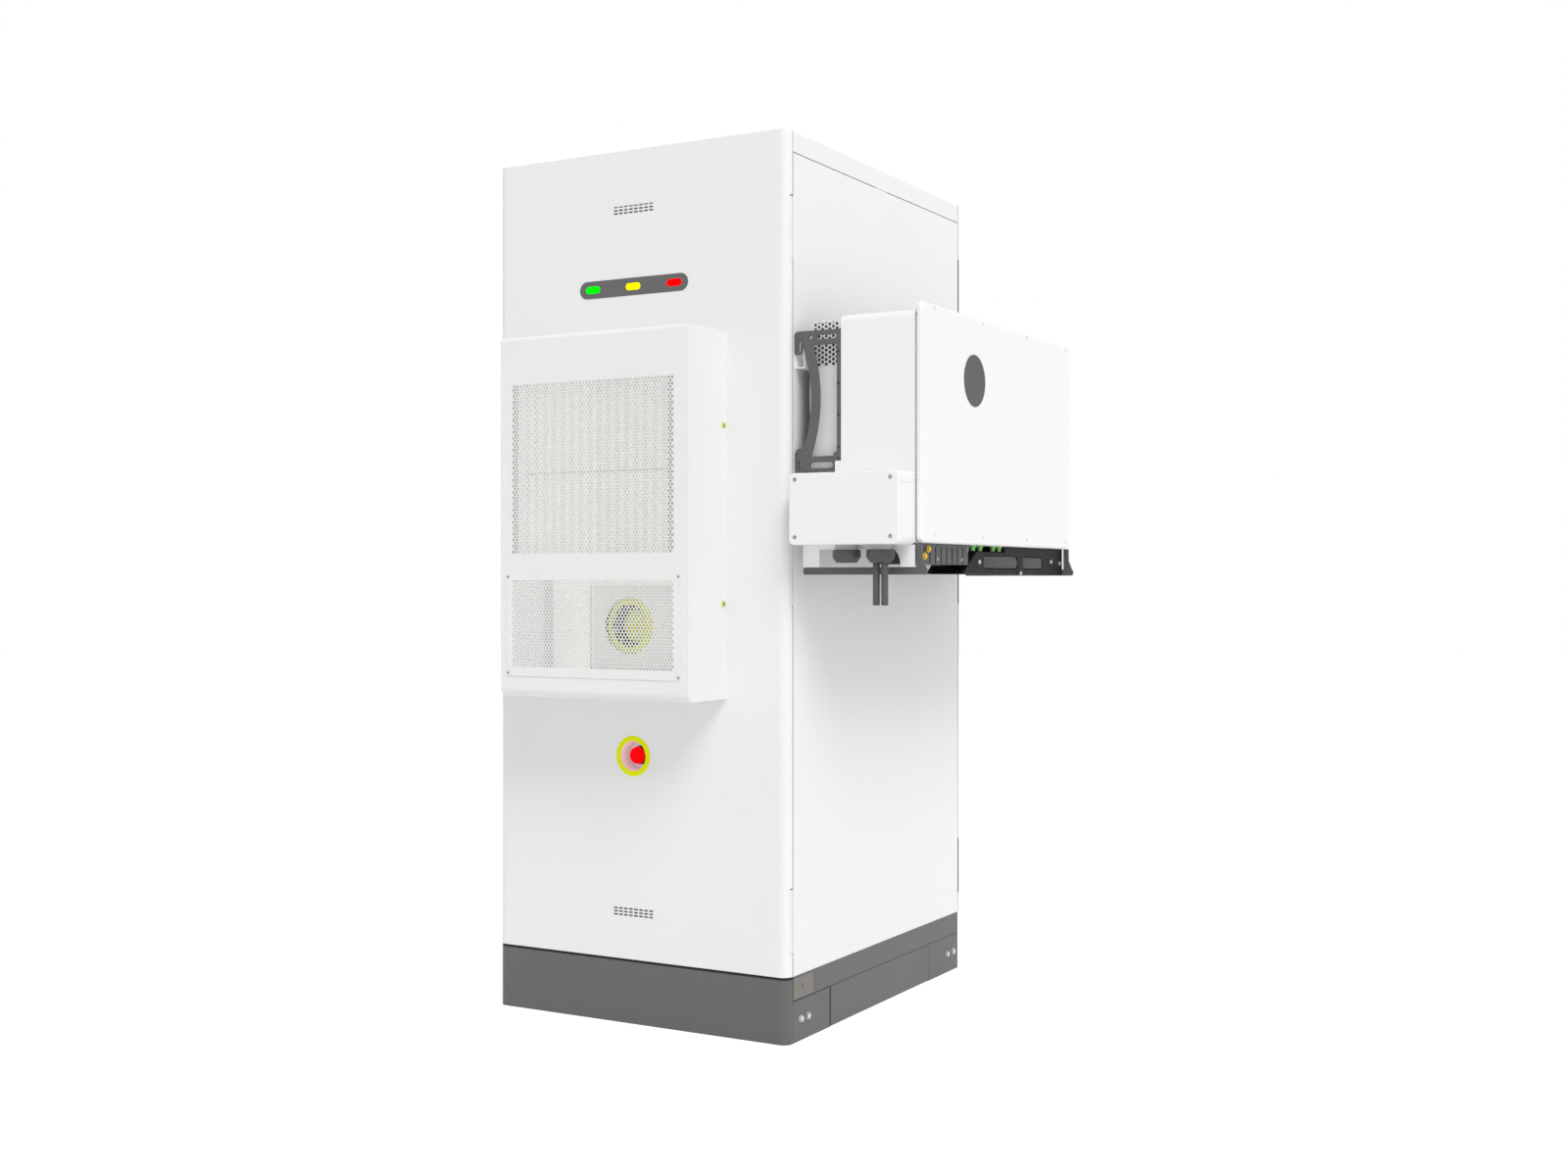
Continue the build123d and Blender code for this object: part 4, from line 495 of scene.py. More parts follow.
def fan_plastic(name, shade):
    """Yellow wheel with painted shade on its blade ring, and a painted glow."""
    tree, shader = start(name, specular=0.2)
    split = axes(tree)
    dx = maths(tree, "SUBTRACT", split.outputs["X"], FAN_AXIS[0])
    dz = maths(tree, "SUBTRACT", split.outputs["Z"], FAN_AXIS[1])
    squares = maths(tree, "ADD", maths(tree, "MULTIPLY", dx, dx), maths(tree, "MULTIPLY", dz, dz))
    reach = maths(tree, "SQRT", squares)
    blade_shade = maths(tree, "MULTIPLY", maths(tree, "GREATER_THAN", reach, HUB_REACH),
                   maths(tree, "GREATER_THAN", split.outputs["Y"], BLADE_FRONT))
    peel = use(tree, "peel", Grain=1400.0, Cloud=12.0)
    tone = blend(tree, peel.outputs["Tone"], darker(shade, 0.95), shade)
    # painted shade on the blade ring inside the inlet
    tone = blend(tree, blade_shade, tone, paint_code(30, 31, 24))
    join(tree, tone, shader.inputs["Base Color"])
    # painted light: the wheel glows
    painted_glow(tree, shader, tone, 0.2)
    join(tree, spread(tree, peel.outputs["Tone"], 0.0, 1.0, 0.45, 0.55), shader.inputs["Roughness"])


def hinge_paint(name, shade, rear_shade):
    """Front hinges painted with the case; the rear ones darkened with painted shade."""
    tree, shader = start(name, specular=0.3)
    split = axes(tree)
    edge = use(tree, "edge", Radius=0.0006, Breaks=90.0)
    # painted shade: hinge parts behind the middle (Y > 0) take the dark tone
    tone = blend(tree, maths(tree, "GREATER_THAN", split.outputs["Y"], 0.0), shade, rear_shade)
    tone = blend(tree, maths(tree, "MULTIPLY", edge.outputs["Edge"], 0.2), tone, paint_code(150, 150, 150))
    join(tree, tone, shader.inputs["Base Color"])
    join(tree, edge.outputs["Rounded"], shader.inputs["Normal"])


def cast_sink(name):
    """Anodised fins, pale along their length, with painted shade at both ends where the vent plates' holes
    look onto them.
    """
    tree, shader = start(name, specular=0.3)
    split = axes(tree)
    centred = maths(tree, "ABSOLUTE", maths(tree, "SUBTRACT", split.outputs["Y"], 0.0085))
    grain = use(tree, "grain", Lines=260.0, Stretch=0.03)
    metal = blend(tree, grain.outputs["Tone"], paint_code(184, 186, 187), paint_code(206, 207, 208))
    # painted shade at both ends, where the vent plates' holes look onto the fins
    metal = blend(tree, spread(tree, centred, 0.395, 0.425), metal, paint_code(84, 86, 86))
    join(tree, metal, shader.inputs["Base Color"])
    join(tree, spread(tree, grain.outputs["Tone"], 0.0, 1.0, 0.4, 0.55), shader.inputs["Roughness"])


def cable_sheath(name, shade):
    """Rubber cable sheath with faint lengthwise marks of the extruder."""
    tree, shader = start(name, specular=0.35)
    grain = use(tree, "grain", Lines=500.0, Stretch=0.02)
    soil = use(tree, "peel", Grain=900.0, Cloud=20.0)
    sheath = blend(tree, grain.outputs["Tone"], darker(shade, 0.88), shade)
    dusty = maths(tree, "MULTIPLY", soil.outputs["Tone"], 0.12)
    sheath = blend(tree, dusty, sheath, paint_code(128, 126, 122))
    join(tree, sheath, shader.inputs["Base Color"])
    join(tree, spread(tree, soil.outputs["Tone"], 0.0, 1.0, 0.5, 0.62), shader.inputs["Roughness"])
    raise_surface(tree, shader, grain.outputs["Height"], 0.1, 0.0002)


PIECE_FINISH = {
    "case_white": ("front_door_panel", "rear_door_panel", "right_side_panel", "left_side_panel", "roof_cap"),
    "hood_white": ("ac_cover",),
    "converter_white": ("converter_housing", "converter_cover", "converter_wall_rails"),
    "plinth_grey": ("base_frame", "corner_feet", "plinth_front_cover", "plinth_rear_cover",
                    "plinth_side_covers"),
    "frame_zinc": ("floor_pan", "corner_posts", "bottom_frame", "top_frame", "battery_rack"),
    "hinge_white": ("hinge_frame_leaves", "front_hinge_door_leaves", "rear_hinge_door_leaves", "hinge_pins"),
    "earth_bronze": ("earth_plate",),
    "seal_rubber": ("door_seals",),
    "lock_black": ("front_lock_handle", "rear_lock_handle"),
    "bar_grey": ("light_bar",),
    "lens_green": ("green_light",),
    "lens_yellow": ("yellow_light",),
    "lens_red": ("red_light",),
    "stop_yellow": ("estop_ring",),
    "stop_cup_grey": ("estop_cup",),
    "stop_black": ("estop_base",),
    "stop_red": ("estop_head",),
    "coil_fins": ("ac_condenser_coil",),
    "fan_box_pale": ("ac_fan_box",),
    "cavity_pale": ("ac_indoor_unit",),
    "fan_yellow": ("ac_fan_rotor",),
    "pack_black": ("battery_packs",),
    "control_grey": ("control_box",),
    "knob_red": ("isolator_knob",),
    "casting_grey": ("converter_front_end_frame", "converter_rear_end_frame"),
    "sink_aluminium": ("converter_heat_sink",),
    "vent_green": ("converter_vent_plates",),
    "disc_grey": ("status_disc",),
    "box_white": ("wiring_box", "wiring_box_lid", "wiring_box_bracket"),
    "gland_black": ("cable_glands",),
    "terminal_grey": ("terminal_block",),
    "trough_black": ("cable_trough",),
    "plug_green": ("signal_plugs",),
    "lug_yellow": ("ground_terminals",),
    "cable_grey": ("power_cable_left", "power_cable_right"),
}


class CABINET_OT_finishes(bpy.types.Operator):
    """Make every finish and give it to the pieces of the frame."""
    bl_idname = "cabinet.finishes"
    bl_label = "Finishes"

    def execute(self, context):
        paint = context.scene.cabinet_colours
        powder_coat("case_white", tuple(paint.case_white))
        powder_coat("hood_white", tuple(paint.hood_white), painted_inner_light=0.25)
        powder_coat("converter_white", tuple(paint.converter_white), roughness=0.36, tone=0.99)
        powder_coat("plinth_grey", tuple(paint.plinth_grey), roughness=0.5, grain=520.0, depth=0.2, wear=0.3,
                    tone=0.95, worn=paint_code(150, 150, 150), dust=0.03, seam_shadows=True)
        powder_coat("casting_grey", tuple(paint.casting_grey), roughness=0.45, grain=900.0, depth=0.25,
                    radius=0.001, wear=0.4, tone=0.9, worn=paint_code(150, 150, 148))
        powder_coat("vent_green", tuple(paint.vent_green), roughness=0.5, radius=0.0008)
        powder_coat("control_grey", paint_code(206, 208, 206), roughness=0.45)
        powder_coat("pack_black", paint_code(52, 54, 57), roughness=0.5, grain=600.0, depth=0.3, wear=0.4,
                    tone=0.85, worn=paint_code(120, 120, 120), dust=0.3)
        zinc_sheet("frame_zinc", paint_code(176, 180, 183))
        zinc_sheet("inner_zinc", paint_code(228, 229, 227), roughness=0.5, crystals=140.0)
        lit_cavity("fan_box_pale", paint_code(228, 229, 226), 0.2, -0.0275)
        lit_cavity("cavity_pale", paint_code(236, 237, 234), 0.34)
        hinge_paint("hinge_white", tuple(paint.case_white), paint_code(62, 62, 62))
        moulded("earth_bronze", paint_code(126, 121, 115), roughness=0.5, specular=0.3)
        cast_sink("sink_aluminium")
        bare_metal("screw_steel", paint_code(170, 170, 170), roughness=0.3)
        bare_metal("bolt_pale", paint_code(214, 214, 212), roughness=0.35)
        bare_metal("bolt_yellow", paint_code(214, 216, 30), roughness=0.35, tone=0.6)
        bare_metal("copper", paint_code(196, 120, 84), roughness=0.35)
        moulded("seal_rubber", paint_code(34, 34, 35), roughness=0.75, grain=900.0)
        moulded("lock_black", paint_code(38, 38, 40), roughness=0.4)
        moulded("bar_grey", tuple(paint.bar_grey), roughness=0.42)
        # the e-stop's flange, cup and head get a painted glow
        moulded("stop_yellow", tuple(paint.stop_yellow), roughness=0.5, specular=0.06, glow=0.08)
        moulded("stop_cup_grey", paint_code(248, 232, 237), roughness=0.55, specular=0.2, glow=0.16)
        moulded("stop_black", paint_code(24, 24, 25), roughness=0.5)
        moulded("stop_red", tuple(paint.stop_red), roughness=0.5, specular=0.03, glow=0.5)
        fan_plastic("fan_yellow", tuple(paint.fan_yellow))
        moulded("knob_red", paint_code(196, 28, 24), roughness=0.35, coat=0.3)
        moulded("disc_grey", paint_code(84, 84, 85), roughness=0.45, specular=0.25)
        moulded("box_white", paint_code(243, 243, 243), roughness=0.42, tone=0.985)
        moulded("gland_black", paint_code(74, 74, 75), roughness=0.45)
        moulded("gland_neck", paint_code(196, 197, 197), roughness=0.45)
        moulded("terminal_grey", paint_code(74, 75, 77), roughness=0.5)
        moulded("trough_black", paint_code(27, 28, 29), roughness=0.5, specular=0.1)
        moulded("boot_grey", paint_code(58, 59, 60), roughness=0.45, specular=0.3)
        moulded("plug_green", paint_code(150, 222, 120), roughness=0.4)
        moulded("lug_yellow", paint_code(232, 190, 10), roughness=0.4)
        moulded("screw_white", paint_code(226, 226, 226), roughness=0.4)
        moulded("screw_black", paint_code(30, 30, 31), roughness=0.45)
        lamp_lens("lens_green", paint_code(0, 238, 4), 0.6)
        lamp_lens("lens_yellow", paint_code(250, 248, 0), 0.4)
        lamp_lens("lens_red", paint_code(250, 0, 0), 0.9)
        fin_pack("coil_fins", paint_code(242, 243, 240))
        cable_sheath("cable_grey", paint_code(84, 84, 85))
        for finish, names in PIECE_FINISH.items():
            for name in names:
                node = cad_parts[name]
                if not node.material_slots:
                    node.data.materials.append(None)
                for slot in node.material_slots:
                    slot.material = FINISHES[finish]
        return {"FINISHED"}


# ---------------------------------------------------------------- mesh helpers
def hexagon(half_flats):
    """Radius of a hexagon's outline at an angle."""
    def at(angle):
        return half_flats / math.cos((angle + math.pi / 6) % (math.pi / 3) - math.pi / 6)
    return at


def cross(reach, half_width):
    """Radius of a cross recess at an angle."""
    def at(angle):
        turn = abs((angle + math.pi / 4) % (math.pi / 2) - math.pi / 4)
        return min(reach, half_width / max(math.sin(turn), 1e-6)) if turn > 1e-6 else reach
    return at


def fluted(radius, count, depth):
    def at(angle):
        return radius - depth * (0.5 - 0.5 * math.cos(count * angle))
    return at


def lathe(form, rings, segments, place=Matrix.Identity(4)):
    """Rings of (radius or outline, height) about +Z, closed at a zero radius."""
    rows = []
    for radius, height in rings:
        if radius == 0:
            rows.append([form.verts.new(place @ Vector((0, 0, height)))])
            continue
        row = []
        for step in range(segments):
            angle = 2 * math.pi * step / segments
            reach = radius(angle) if callable(radius) else radius
            spot = Vector((reach * math.cos(angle), reach * math.sin(angle), height))
            row.append(form.verts.new(place @ spot))
        rows.append(row)
    for lower, upper in zip(rows, rows[1:]):
        for step in range(segments):
            after = (step + 1) % segments
            if len(lower) == 1:
                form.faces.new((lower[0], upper[after], upper[step]))
            elif len(upper) == 1:
                form.faces.new((lower[step], lower[after], upper[0]))
            else:
                form.faces.new((lower[step], lower[after], upper[after], upper[step]))


def bar(form, low, high):
    """Plain bar between two corners."""
    made = bmesh.ops.create_cube(form, size=1.0)["verts"]
    middle = (Vector(low) + Vector(high)) / 2
    size = Vector(high) - Vector(low)
    for vertex in made:
        vertex.co = Vector((vertex.co.x * size.x, vertex.co.y * size.y, vertex.co.z * size.z)) + middle


def finish_piece(piece, material, body, replaced=(), smooth=30):
    """Shade a piece, give it its finish, and let it ride on its body."""
    mesh = piece.data
    mesh.polygons.foreach_set("use_smooth", [True] * len(mesh.polygons))
    mesh.set_sharp_from_angle(angle=math.radians(smooth))
    if material is not None:
        mesh.materials.clear()
        mesh.materials.append(FINISHES[material])
    if replaced:
        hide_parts(*replaced)
    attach(piece, body)
    return piece


def piece_from(form, name, material, body, replaced=(), smooth=30):
    """A finished piece from a bmesh form."""
    bmesh.ops.recalc_face_normals(form, faces=form.faces)
    mesh = bpy.data.meshes.new(name)
    form.to_mesh(mesh)
    form.free()
    piece = bpy.data.objects.new(name, mesh)
    bpy.context.scene.collection.objects.link(piece)
    return finish_piece(piece, material, body, replaced, smooth)


def middle_of(node):
    low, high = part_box(node)
    return (low + high) / 2


# ---------------------------------------------------------------- geometry node trees
TREES = {}


def node_tree(name, inputs):
    """A Geometry Nodes tree with named inputs and one geometry output."""
    tree = bpy.data.node_groups.new(name, "GeometryNodeTree")
    for label, kind, default in inputs:
        socket = tree.interface.new_socket(label, in_out="INPUT", socket_type=kind)
        if default is not None:
            socket.default_value = default
    tree.interface.new_socket("Geometry", in_out="OUTPUT", socket_type="NodeSocketGeometry")
    return tree, add(tree, "NodeGroupInput"), add(tree, "NodeGroupOutput")


def settle(tree, given, result, geometry):
    """Close a tree with Realize Instances and Set Material."""
    real = add(tree, "GeometryNodeRealizeInstances")
    paint = add(tree, "GeometryNodeSetMaterial")
    join(tree, geometry, real.inputs[0])
    join(tree, real.outputs[0], paint.inputs["Geometry"])
    join(tree, given.outputs["Finish"], paint.inputs["Material"])
    join(tree, paint.outputs[0], result.inputs[0])


def perforated_sheet_tree():
    """Sheet with a staggered field of round holes."""
    tree, given, result = node_tree("Perforated sheet", (
        ("Width", "NodeSocketFloat", 0.5), ("Height", "NodeSocketFloat", 0.4),
        ("Thickness", "NodeSocketFloat", 0.002), ("Corner", "NodeSocketFloat", 0.0005),
        ("Hole", "NodeSocketFloat", 0.005), ("Sides", "NodeSocketInt", 10),
        ("Columns", "NodeSocketInt", 10), ("Rows", "NodeSocketInt", 10),
        ("Column Pitch", "NodeSocketFloat", 0.009), ("Row Pitch", "NodeSocketFloat", 0.007),
        ("Field", "NodeSocketVector", None), ("Place", "NodeSocketVector", None),
        ("Turn", "NodeSocketVector", None), ("Finish", "NodeSocketMaterial", None)))
    out = given.outputs
    tall = maths(tree, "MULTIPLY", maths(tree, "SUBTRACT", out["Rows"], 1.0), out["Row Pitch"])
    wide = maths(tree, "MULTIPLY", maths(tree, "SUBTRACT", out["Columns"], 1.0), out["Column Pitch"])
    grid = add(tree, "GeometryNodeMeshGrid")
    for name, source in (("Size X", wide), ("Size Y", tall), ("Vertices X", out["Columns"]),
                         ("Vertices Y", out["Rows"])):
        join(tree, source, grid.inputs[name])
    at = add(tree, "ShaderNodeSeparateXYZ")
    join(tree, add(tree, "GeometryNodeInputPosition").outputs[0], at.inputs[0])
    height = maths(tree, "ADD", at.outputs["Y"], maths(tree, "MULTIPLY", tall, 0.5))
    row = maths(tree, "ROUND", maths(tree, "DIVIDE", height, out["Row Pitch"]))
    odd = maths(tree, "SUBTRACT", maths(tree, "MODULO", row, 2.0), 0.5)
    shift = add(tree, "ShaderNodeCombineXYZ")
    half = maths(tree, "MULTIPLY", out["Column Pitch"], 0.5)
    join(tree, maths(tree, "MULTIPLY", odd, half), shift.inputs[0])
    moved = add(tree, "ShaderNodeVectorMath", operation="ADD")
    join(tree, shift.outputs[0], moved.inputs[0])
    join(tree, out["Field"], moved.inputs[1])
    stagger = add(tree, "GeometryNodeSetPosition")
    join(tree, grid.outputs["Mesh"], stagger.inputs["Geometry"])
    join(tree, moved.outputs["Vector"], stagger.inputs["Offset"])
    hole = add(tree, "GeometryNodeCurvePrimitiveCircle", mode="RADIUS")
    join(tree, out["Sides"], hole.inputs["Resolution"])
    join(tree, maths(tree, "MULTIPLY", out["Hole"], 0.5), hole.inputs["Radius"])
    holes = add(tree, "GeometryNodeInstanceOnPoints")
    join(tree, stagger.outputs[0], holes.inputs["Points"])
    join(tree, hole.outputs[0], holes.inputs["Instance"])
    real = add(tree, "GeometryNodeRealizeInstances")
    join(tree, holes.outputs[0], real.inputs[0])
    rim = add(tree, "GeometryNodeCurvePrimitiveQuadrilateral", mode="RECTANGLE")
    join(tree, out["Width"], rim.inputs["Width"])
    join(tree, out["Height"], rim.inputs["Height"])
    corners = add(tree, "GeometryNodeFilletCurve")
    corners.mode = "POLY"
    join(tree, rim.outputs[0], corners.inputs["Curve"])
    corners.inputs["Count"].default_value = 4
    join(tree, out["Corner"], corners.inputs["Radius"])
    outline = add(tree, "GeometryNodeJoinGeometry")
    join(tree, corners.outputs[0], outline.inputs[0])
    join(tree, real.outputs[0], outline.inputs[0])
    face = add(tree, "GeometryNodeFillCurve")
    join(tree, outline.outputs[0], face.inputs["Curve"])
    thick = add(tree, "GeometryNodeExtrudeMesh", mode="FACES")
    thick.inputs["Individual"].default_value = False
    join(tree, face.outputs[0], thick.inputs["Mesh"])
    join(tree, out["Thickness"], thick.inputs["Offset Scale"])
    under = add(tree, "GeometryNodeFlipFaces")
    join(tree, face.outputs[0], under.inputs[0])
    both = add(tree, "GeometryNodeJoinGeometry")
    join(tree, thick.outputs[0], both.inputs[0])
    join(tree, under.outputs[0], both.inputs[0])
    weld = add(tree, "GeometryNodeMergeByDistance")
    join(tree, both.outputs[0], weld.inputs["Geometry"])
    weld.inputs["Distance"].default_value = 1e-6
    stand = add(tree, "GeometryNodeTransform")
    join(tree, weld.outputs[0], stand.inputs["Geometry"])
    join(tree, out["Place"], stand.inputs["Translation"])
    join(tree, out["Turn"], stand.inputs["Rotation"])
    settle(tree, given, result, stand.outputs[0])
    return tree


def fasteners_tree():
    """One head on every point, each turned a little about its own axis."""
    tree, given, result = node_tree("Fasteners", (
        ("Points", "NodeSocketGeometry", None), ("Head", "NodeSocketObject", None),
        ("Turn", "NodeSocketVector", None), ("Spin", "NodeSocketFloat", 3.1), ("Seed", "NodeSocketInt", 4),
        ("Finish", "NodeSocketMaterial", None)))
    head = add(tree, "GeometryNodeObjectInfo")
    join(tree, given.outputs["Head"], head.inputs["Object"])
    set_on = add(tree, "GeometryNodeInstanceOnPoints")
    join(tree, given.outputs["Points"], set_on.inputs["Points"])
    join(tree, head.outputs["Geometry"], set_on.inputs["Instance"])
    join(tree, given.outputs["Turn"], set_on.inputs["Rotation"])
    chance = add(tree, "FunctionNodeRandomValue", data_type="FLOAT")
    join(tree, given.outputs["Spin"], chance.inputs[3])
    join(tree, given.outputs["Seed"], chance.inputs["Seed"])
    about = add(tree, "ShaderNodeCombineXYZ")
    join(tree, chance.outputs[1], about.inputs[2])
    spin = add(tree, "GeometryNodeRotateInstances")
    join(tree, set_on.outputs[0], spin.inputs["Instances"])
    join(tree, about.outputs[0], spin.inputs["Rotation"])
    settle(tree, given, result, spin.outputs[0])
    return tree


def bars_tree():
    """A row of equal bars."""
    tree, given, result = node_tree("Row of bars", (
        ("Count", "NodeSocketInt", 10), ("Step", "NodeSocketVector", None),
        ("Size", "NodeSocketVector", None),
        ("First", "NodeSocketVector", None), ("Finish", "NodeSocketMaterial", None)))
    row = add(tree, "GeometryNodeMeshLine", mode="OFFSET")
    join(tree, given.outputs["Count"], row.inputs["Count"])
    join(tree, given.outputs["First"], row.inputs["Start Location"])
    join(tree, given.outputs["Step"], row.inputs["Offset"])
    shape = add(tree, "GeometryNodeMeshCube")
    join(tree, given.outputs["Size"], shape.inputs["Size"])
    bars = add(tree, "GeometryNodeInstanceOnPoints")
    join(tree, row.outputs[0], bars.inputs["Points"])
    join(tree, shape.outputs[0], bars.inputs["Instance"])
    settle(tree, given, result, bars.outputs[0])
    return tree


def grow(name, tree_name, values, mesh=None):
    """Run a tree on a new object and return it as a plain mesh object."""
    makers = {"sheet": perforated_sheet_tree, "fasteners": fasteners_tree, "bars": bars_tree}
    if tree_name not in TREES:
        TREES[tree_name] = makers[tree_name]()
    tree = TREES[tree_name]
    piece = bpy.data.objects.new(name, mesh or bpy.data.meshes.new(name))
    bpy.context.scene.collection.objects.link(piece)
    modifier = piece.modifiers.new(tree.name, "NODES")
    modifier.node_group = tree
    for item in tree.interface.items_tree:
        if item.item_type == "SOCKET" and item.in_out == "INPUT" and item.name in values:
            modifier[item.identifier] = values[item.name]
    bpy.context.view_layer.update()
    graph = bpy.context.evaluated_depsgraph_get()
    plain = bpy.data.meshes.new_from_object(piece.evaluated_get(graph), depsgraph=graph)
    piece.modifiers.remove(modifier)
    piece.data = plain
    plain.name = name
    if not plain.polygons:
        raise RuntimeError(f"{name}: the tree made no faces")
    return piece


def fasten(name, rings, segments, points, turn, finish, body, replaced=(), seed=4):
    """Heads of one kind on a list of points, as one piece."""
    form = bmesh.new()
    lathe(form, rings, segments)
    bmesh.ops.recalc_face_normals(form, faces=form.faces)
    pattern = bpy.data.meshes.new(name + "_head")
    form.to_mesh(pattern)
    form.free()
    head = bpy.data.objects.new(name + "_head", pattern)
    bpy.context.scene.collection.objects.link(head)
    mesh = bpy.data.meshes.new(name)
    mesh.from_pydata([Vector(point) for point in points], [], [])
    values = {"Head": head, "Turn": turn, "Seed": seed, "Finish": FINISHES[finish]}
    piece = grow(name, "fasteners", values, mesh)
    bpy.data.objects.remove(head)
    return finish_piece(piece, finish, body, replaced)


def socket_head(radius, height):
    """Round head with a hexagon socket."""
    key = hexagon(radius * 0.5)
    return ((0, -0.3 * MM), (radius, -0.3 * MM), (radius, height * 0.7), (radius * 0.9, height),
            (key, height), (key, height * 0.2), (0, height * 0.2))


def cross_head(radius, height):
    """Flat domed head with a cross recess."""
    mark = cross(radius * 0.62, radius * 0.16)
    return ((0, -0.3 * MM), (radius, -0.3 * MM), (radius, height * 0.35), (radius * 0.82, height * 0.8),
            (radius * 0.66, height), (mark, height), (mark, height * 0.15), (0, height * 0.15))


def hexagon_head(half_flats, height, washer):
    """Hexagon head with a chamfer, on a washer."""
    flats = hexagon(half_flats)
    return ((0, -0.3 * MM), (half_flats * 1.28, -0.3 * MM), (half_flats * 1.28, washer),
            (flats, washer), (flats, height * 0.86), (half_flats * 0.97, height), (0, height))


# ---------------------------------------------------------------- stage
class CABINET_OT_stage(bpy.types.Operator):
    """Pale floor, white surroundings, one large soft lamp and the camera."""
    bl_idname = "cabinet.stage"
    bl_label = "Stage"

    def execute(self, context):
        studio = context.scene.cabinet_studio
        half = studio.floor / 2
        mesh = bpy.data.meshes.new("floor")
        mesh.from_pydata([(-half, -half, 0), (half, -half, 0), (half, half, 0), (-half, half, 0)], [],
                         [(0, 1, 2, 3)])
        floor = bpy.data.objects.new("floor", mesh)
        context.scene.collection.objects.link(floor)
        cover = bpy.data.materials.new("studio_floor")
        cover.use_nodes = True
        tree = cover.node_tree
        tree.nodes.clear()
        out = add(tree, "ShaderNodeOutputMaterial")
        plain, seen = add(tree, "ShaderNodeBsdfDiffuse"), add(tree, "ShaderNodeBsdfDiffuse")
        plain.inputs["Color"].default_value = (0.88, 0.88, 0.88, 1)
        seen.inputs["Color"].default_value = (0.62, 0.62, 0.62, 1)
        lift = add(tree, "ShaderNodeEmission")
        lift.inputs["Strength"].default_value = 0.62
        both, choice = add(tree, "ShaderNodeAddShader"), add(tree, "ShaderNodeMixShader")
        join(tree, seen.outputs[0], both.inputs[0])
        join(tree, lift.outputs[0], both.inputs[1])
        join(tree, self.direct(tree), choice.inputs[0])
        join(tree, plain.outputs[0], choice.inputs[1])
        join(tree, both.outputs[0], choice.inputs[2])
        join(tree, choice.outputs[0], out.inputs["Surface"])
        mesh.materials.append(cover)
        self.surroundings(context, studio)
        self.lamp_and_camera(context, studio)
        return {"FINISHED"}

    @staticmethod
    def direct(tree):
        """1 for rays straight from the camera, from gloss and through glass."""
        path = add(tree, "ShaderNodeLightPath").outputs
        seen = maths(tree, "ADD", path["Is Camera Ray"], path["Is Glossy Ray"])
        return maths(tree, "MINIMUM", maths(tree, "ADD", seen, path["Is Transmission Ray"]), 1.0)

    def surroundings(self, context, studio):
        world = bpy.data.worlds.new("studio")
        context.scene.world = world
        world.use_nodes = True
        tree = world.node_tree
        tree.nodes.clear()
        out = add(tree, "ShaderNodeOutputWorld")
        even, white = add(tree, "ShaderNodeBackground"), add(tree, "ShaderNodeBackground")
        even.inputs["Color"].default_value = (1, 1, 1, 1)
        even.inputs["Strength"].default_value = studio.sky
        white.inputs["Color"].default_value = (1, 1, 1, 1)
        choice = add(tree, "ShaderNodeMixShader")
        join(tree, self.direct(tree), choice.inputs[0])
        join(tree, even.outputs[0], choice.inputs[1])
        join(tree, white.outputs[0], choice.inputs[2])
        join(tree, choice.outputs[0], out.inputs["Surface"])

    @staticmethod
    def lamp_and_camera(context, studio):
        lamp = bpy.data.lights.new("key", "SUN")
        lamp.energy = studio.key
        lamp.angle = math.radians(26)
        key = bpy.data.objects.new("key", lamp)
        towards = Vector((0.511, -0.419, 0.750))
        key.rotation_euler = towards.to_track_quat("Z", "Y").to_euler()
        context.scene.collection.objects.link(key)
        soft = bpy.data.lights.new("side_fill", "SUN")
        soft.energy = studio.key * 0.22
        soft.angle = math.radians(100)
        side = bpy.data.objects.new("side_fill", soft)
        side.rotation_euler = Vector((0.96, 0.0, 0.29)).to_track_quat("Z", "Y").to_euler()
        context.scene.collection.objects.link(side)
        view = bpy.data.cameras.new("camera")
        view.lens = studio.lens
        view.sensor_width = 36.0
        view.shift_y = -0.0041
        camera = bpy.data.objects.new("camera", view)
        camera.location = studio.camera_place
        camera.rotation_euler = Euler((math.radians(90), 0, studio.camera_turn))
        context.scene.collection.objects.link(camera)
        context.scene.camera = camera
        context.scene.view_settings.view_transform = "Standard"


# ---------------------------------------------------------------- cables and glands
class CABINET_OT_cables(bpy.types.Operator):
    """Two cable tails that hang from the right gland, with their cut cores."""
    bl_idname = "cabinet.cables"
    bl_label = "Cable tails"

    def execute(self, context):
        for node, x in (("power_cable_left", 0.662), ("power_cable_right", 0.683)):
            route = [(x, -0.510, z) for z in (1.131, 1.107, 1.083, 1.058, 1.034)]
            line = bpy.data.curves.new(node + "_tail", "CURVE")
            line.dimensions = "3D"
            line.bevel_depth = 0.008
            line.bevel_resolution = 6
            line.use_fill_caps = True
            spline = line.splines.new("NURBS")
            spline.points.add(len(route) - 1)
            for point, place in zip(spline.points, route):
                point.co = (*place, 1.0)
            spline.order_u = 3
            spline.use_endpoint_u = True
            tail = bpy.data.objects.new(node + "_tail", line)
            context.scene.collection.objects.link(tail)
            line.materials.append(FINISHES["cable_grey"])
            form = bmesh.new()
            ring = [(0.0, 0.0)] + [(3.6 * MM * math.cos(a * math.pi / 3), 3.6 * MM * math.sin(a * math.pi / 3))
                                   for a in range(6)]
            for dx, dy in ring:
                core = Matrix.Translation((x + dx, -0.510 + dy, 1.034))
                lathe(form, ((0, 2 * MM), (1.7 * MM, 2 * MM), (1.7 * MM, -0.2 * MM), (1.3 * MM, -0.5 * MM),
                             (0, -0.5 * MM)), 12, core)
            cores = piece_from(form, node + "_cores", "copper", "cabinet")
            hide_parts(node)
            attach(tail, "cabinet")
        return {"FINISHED"}


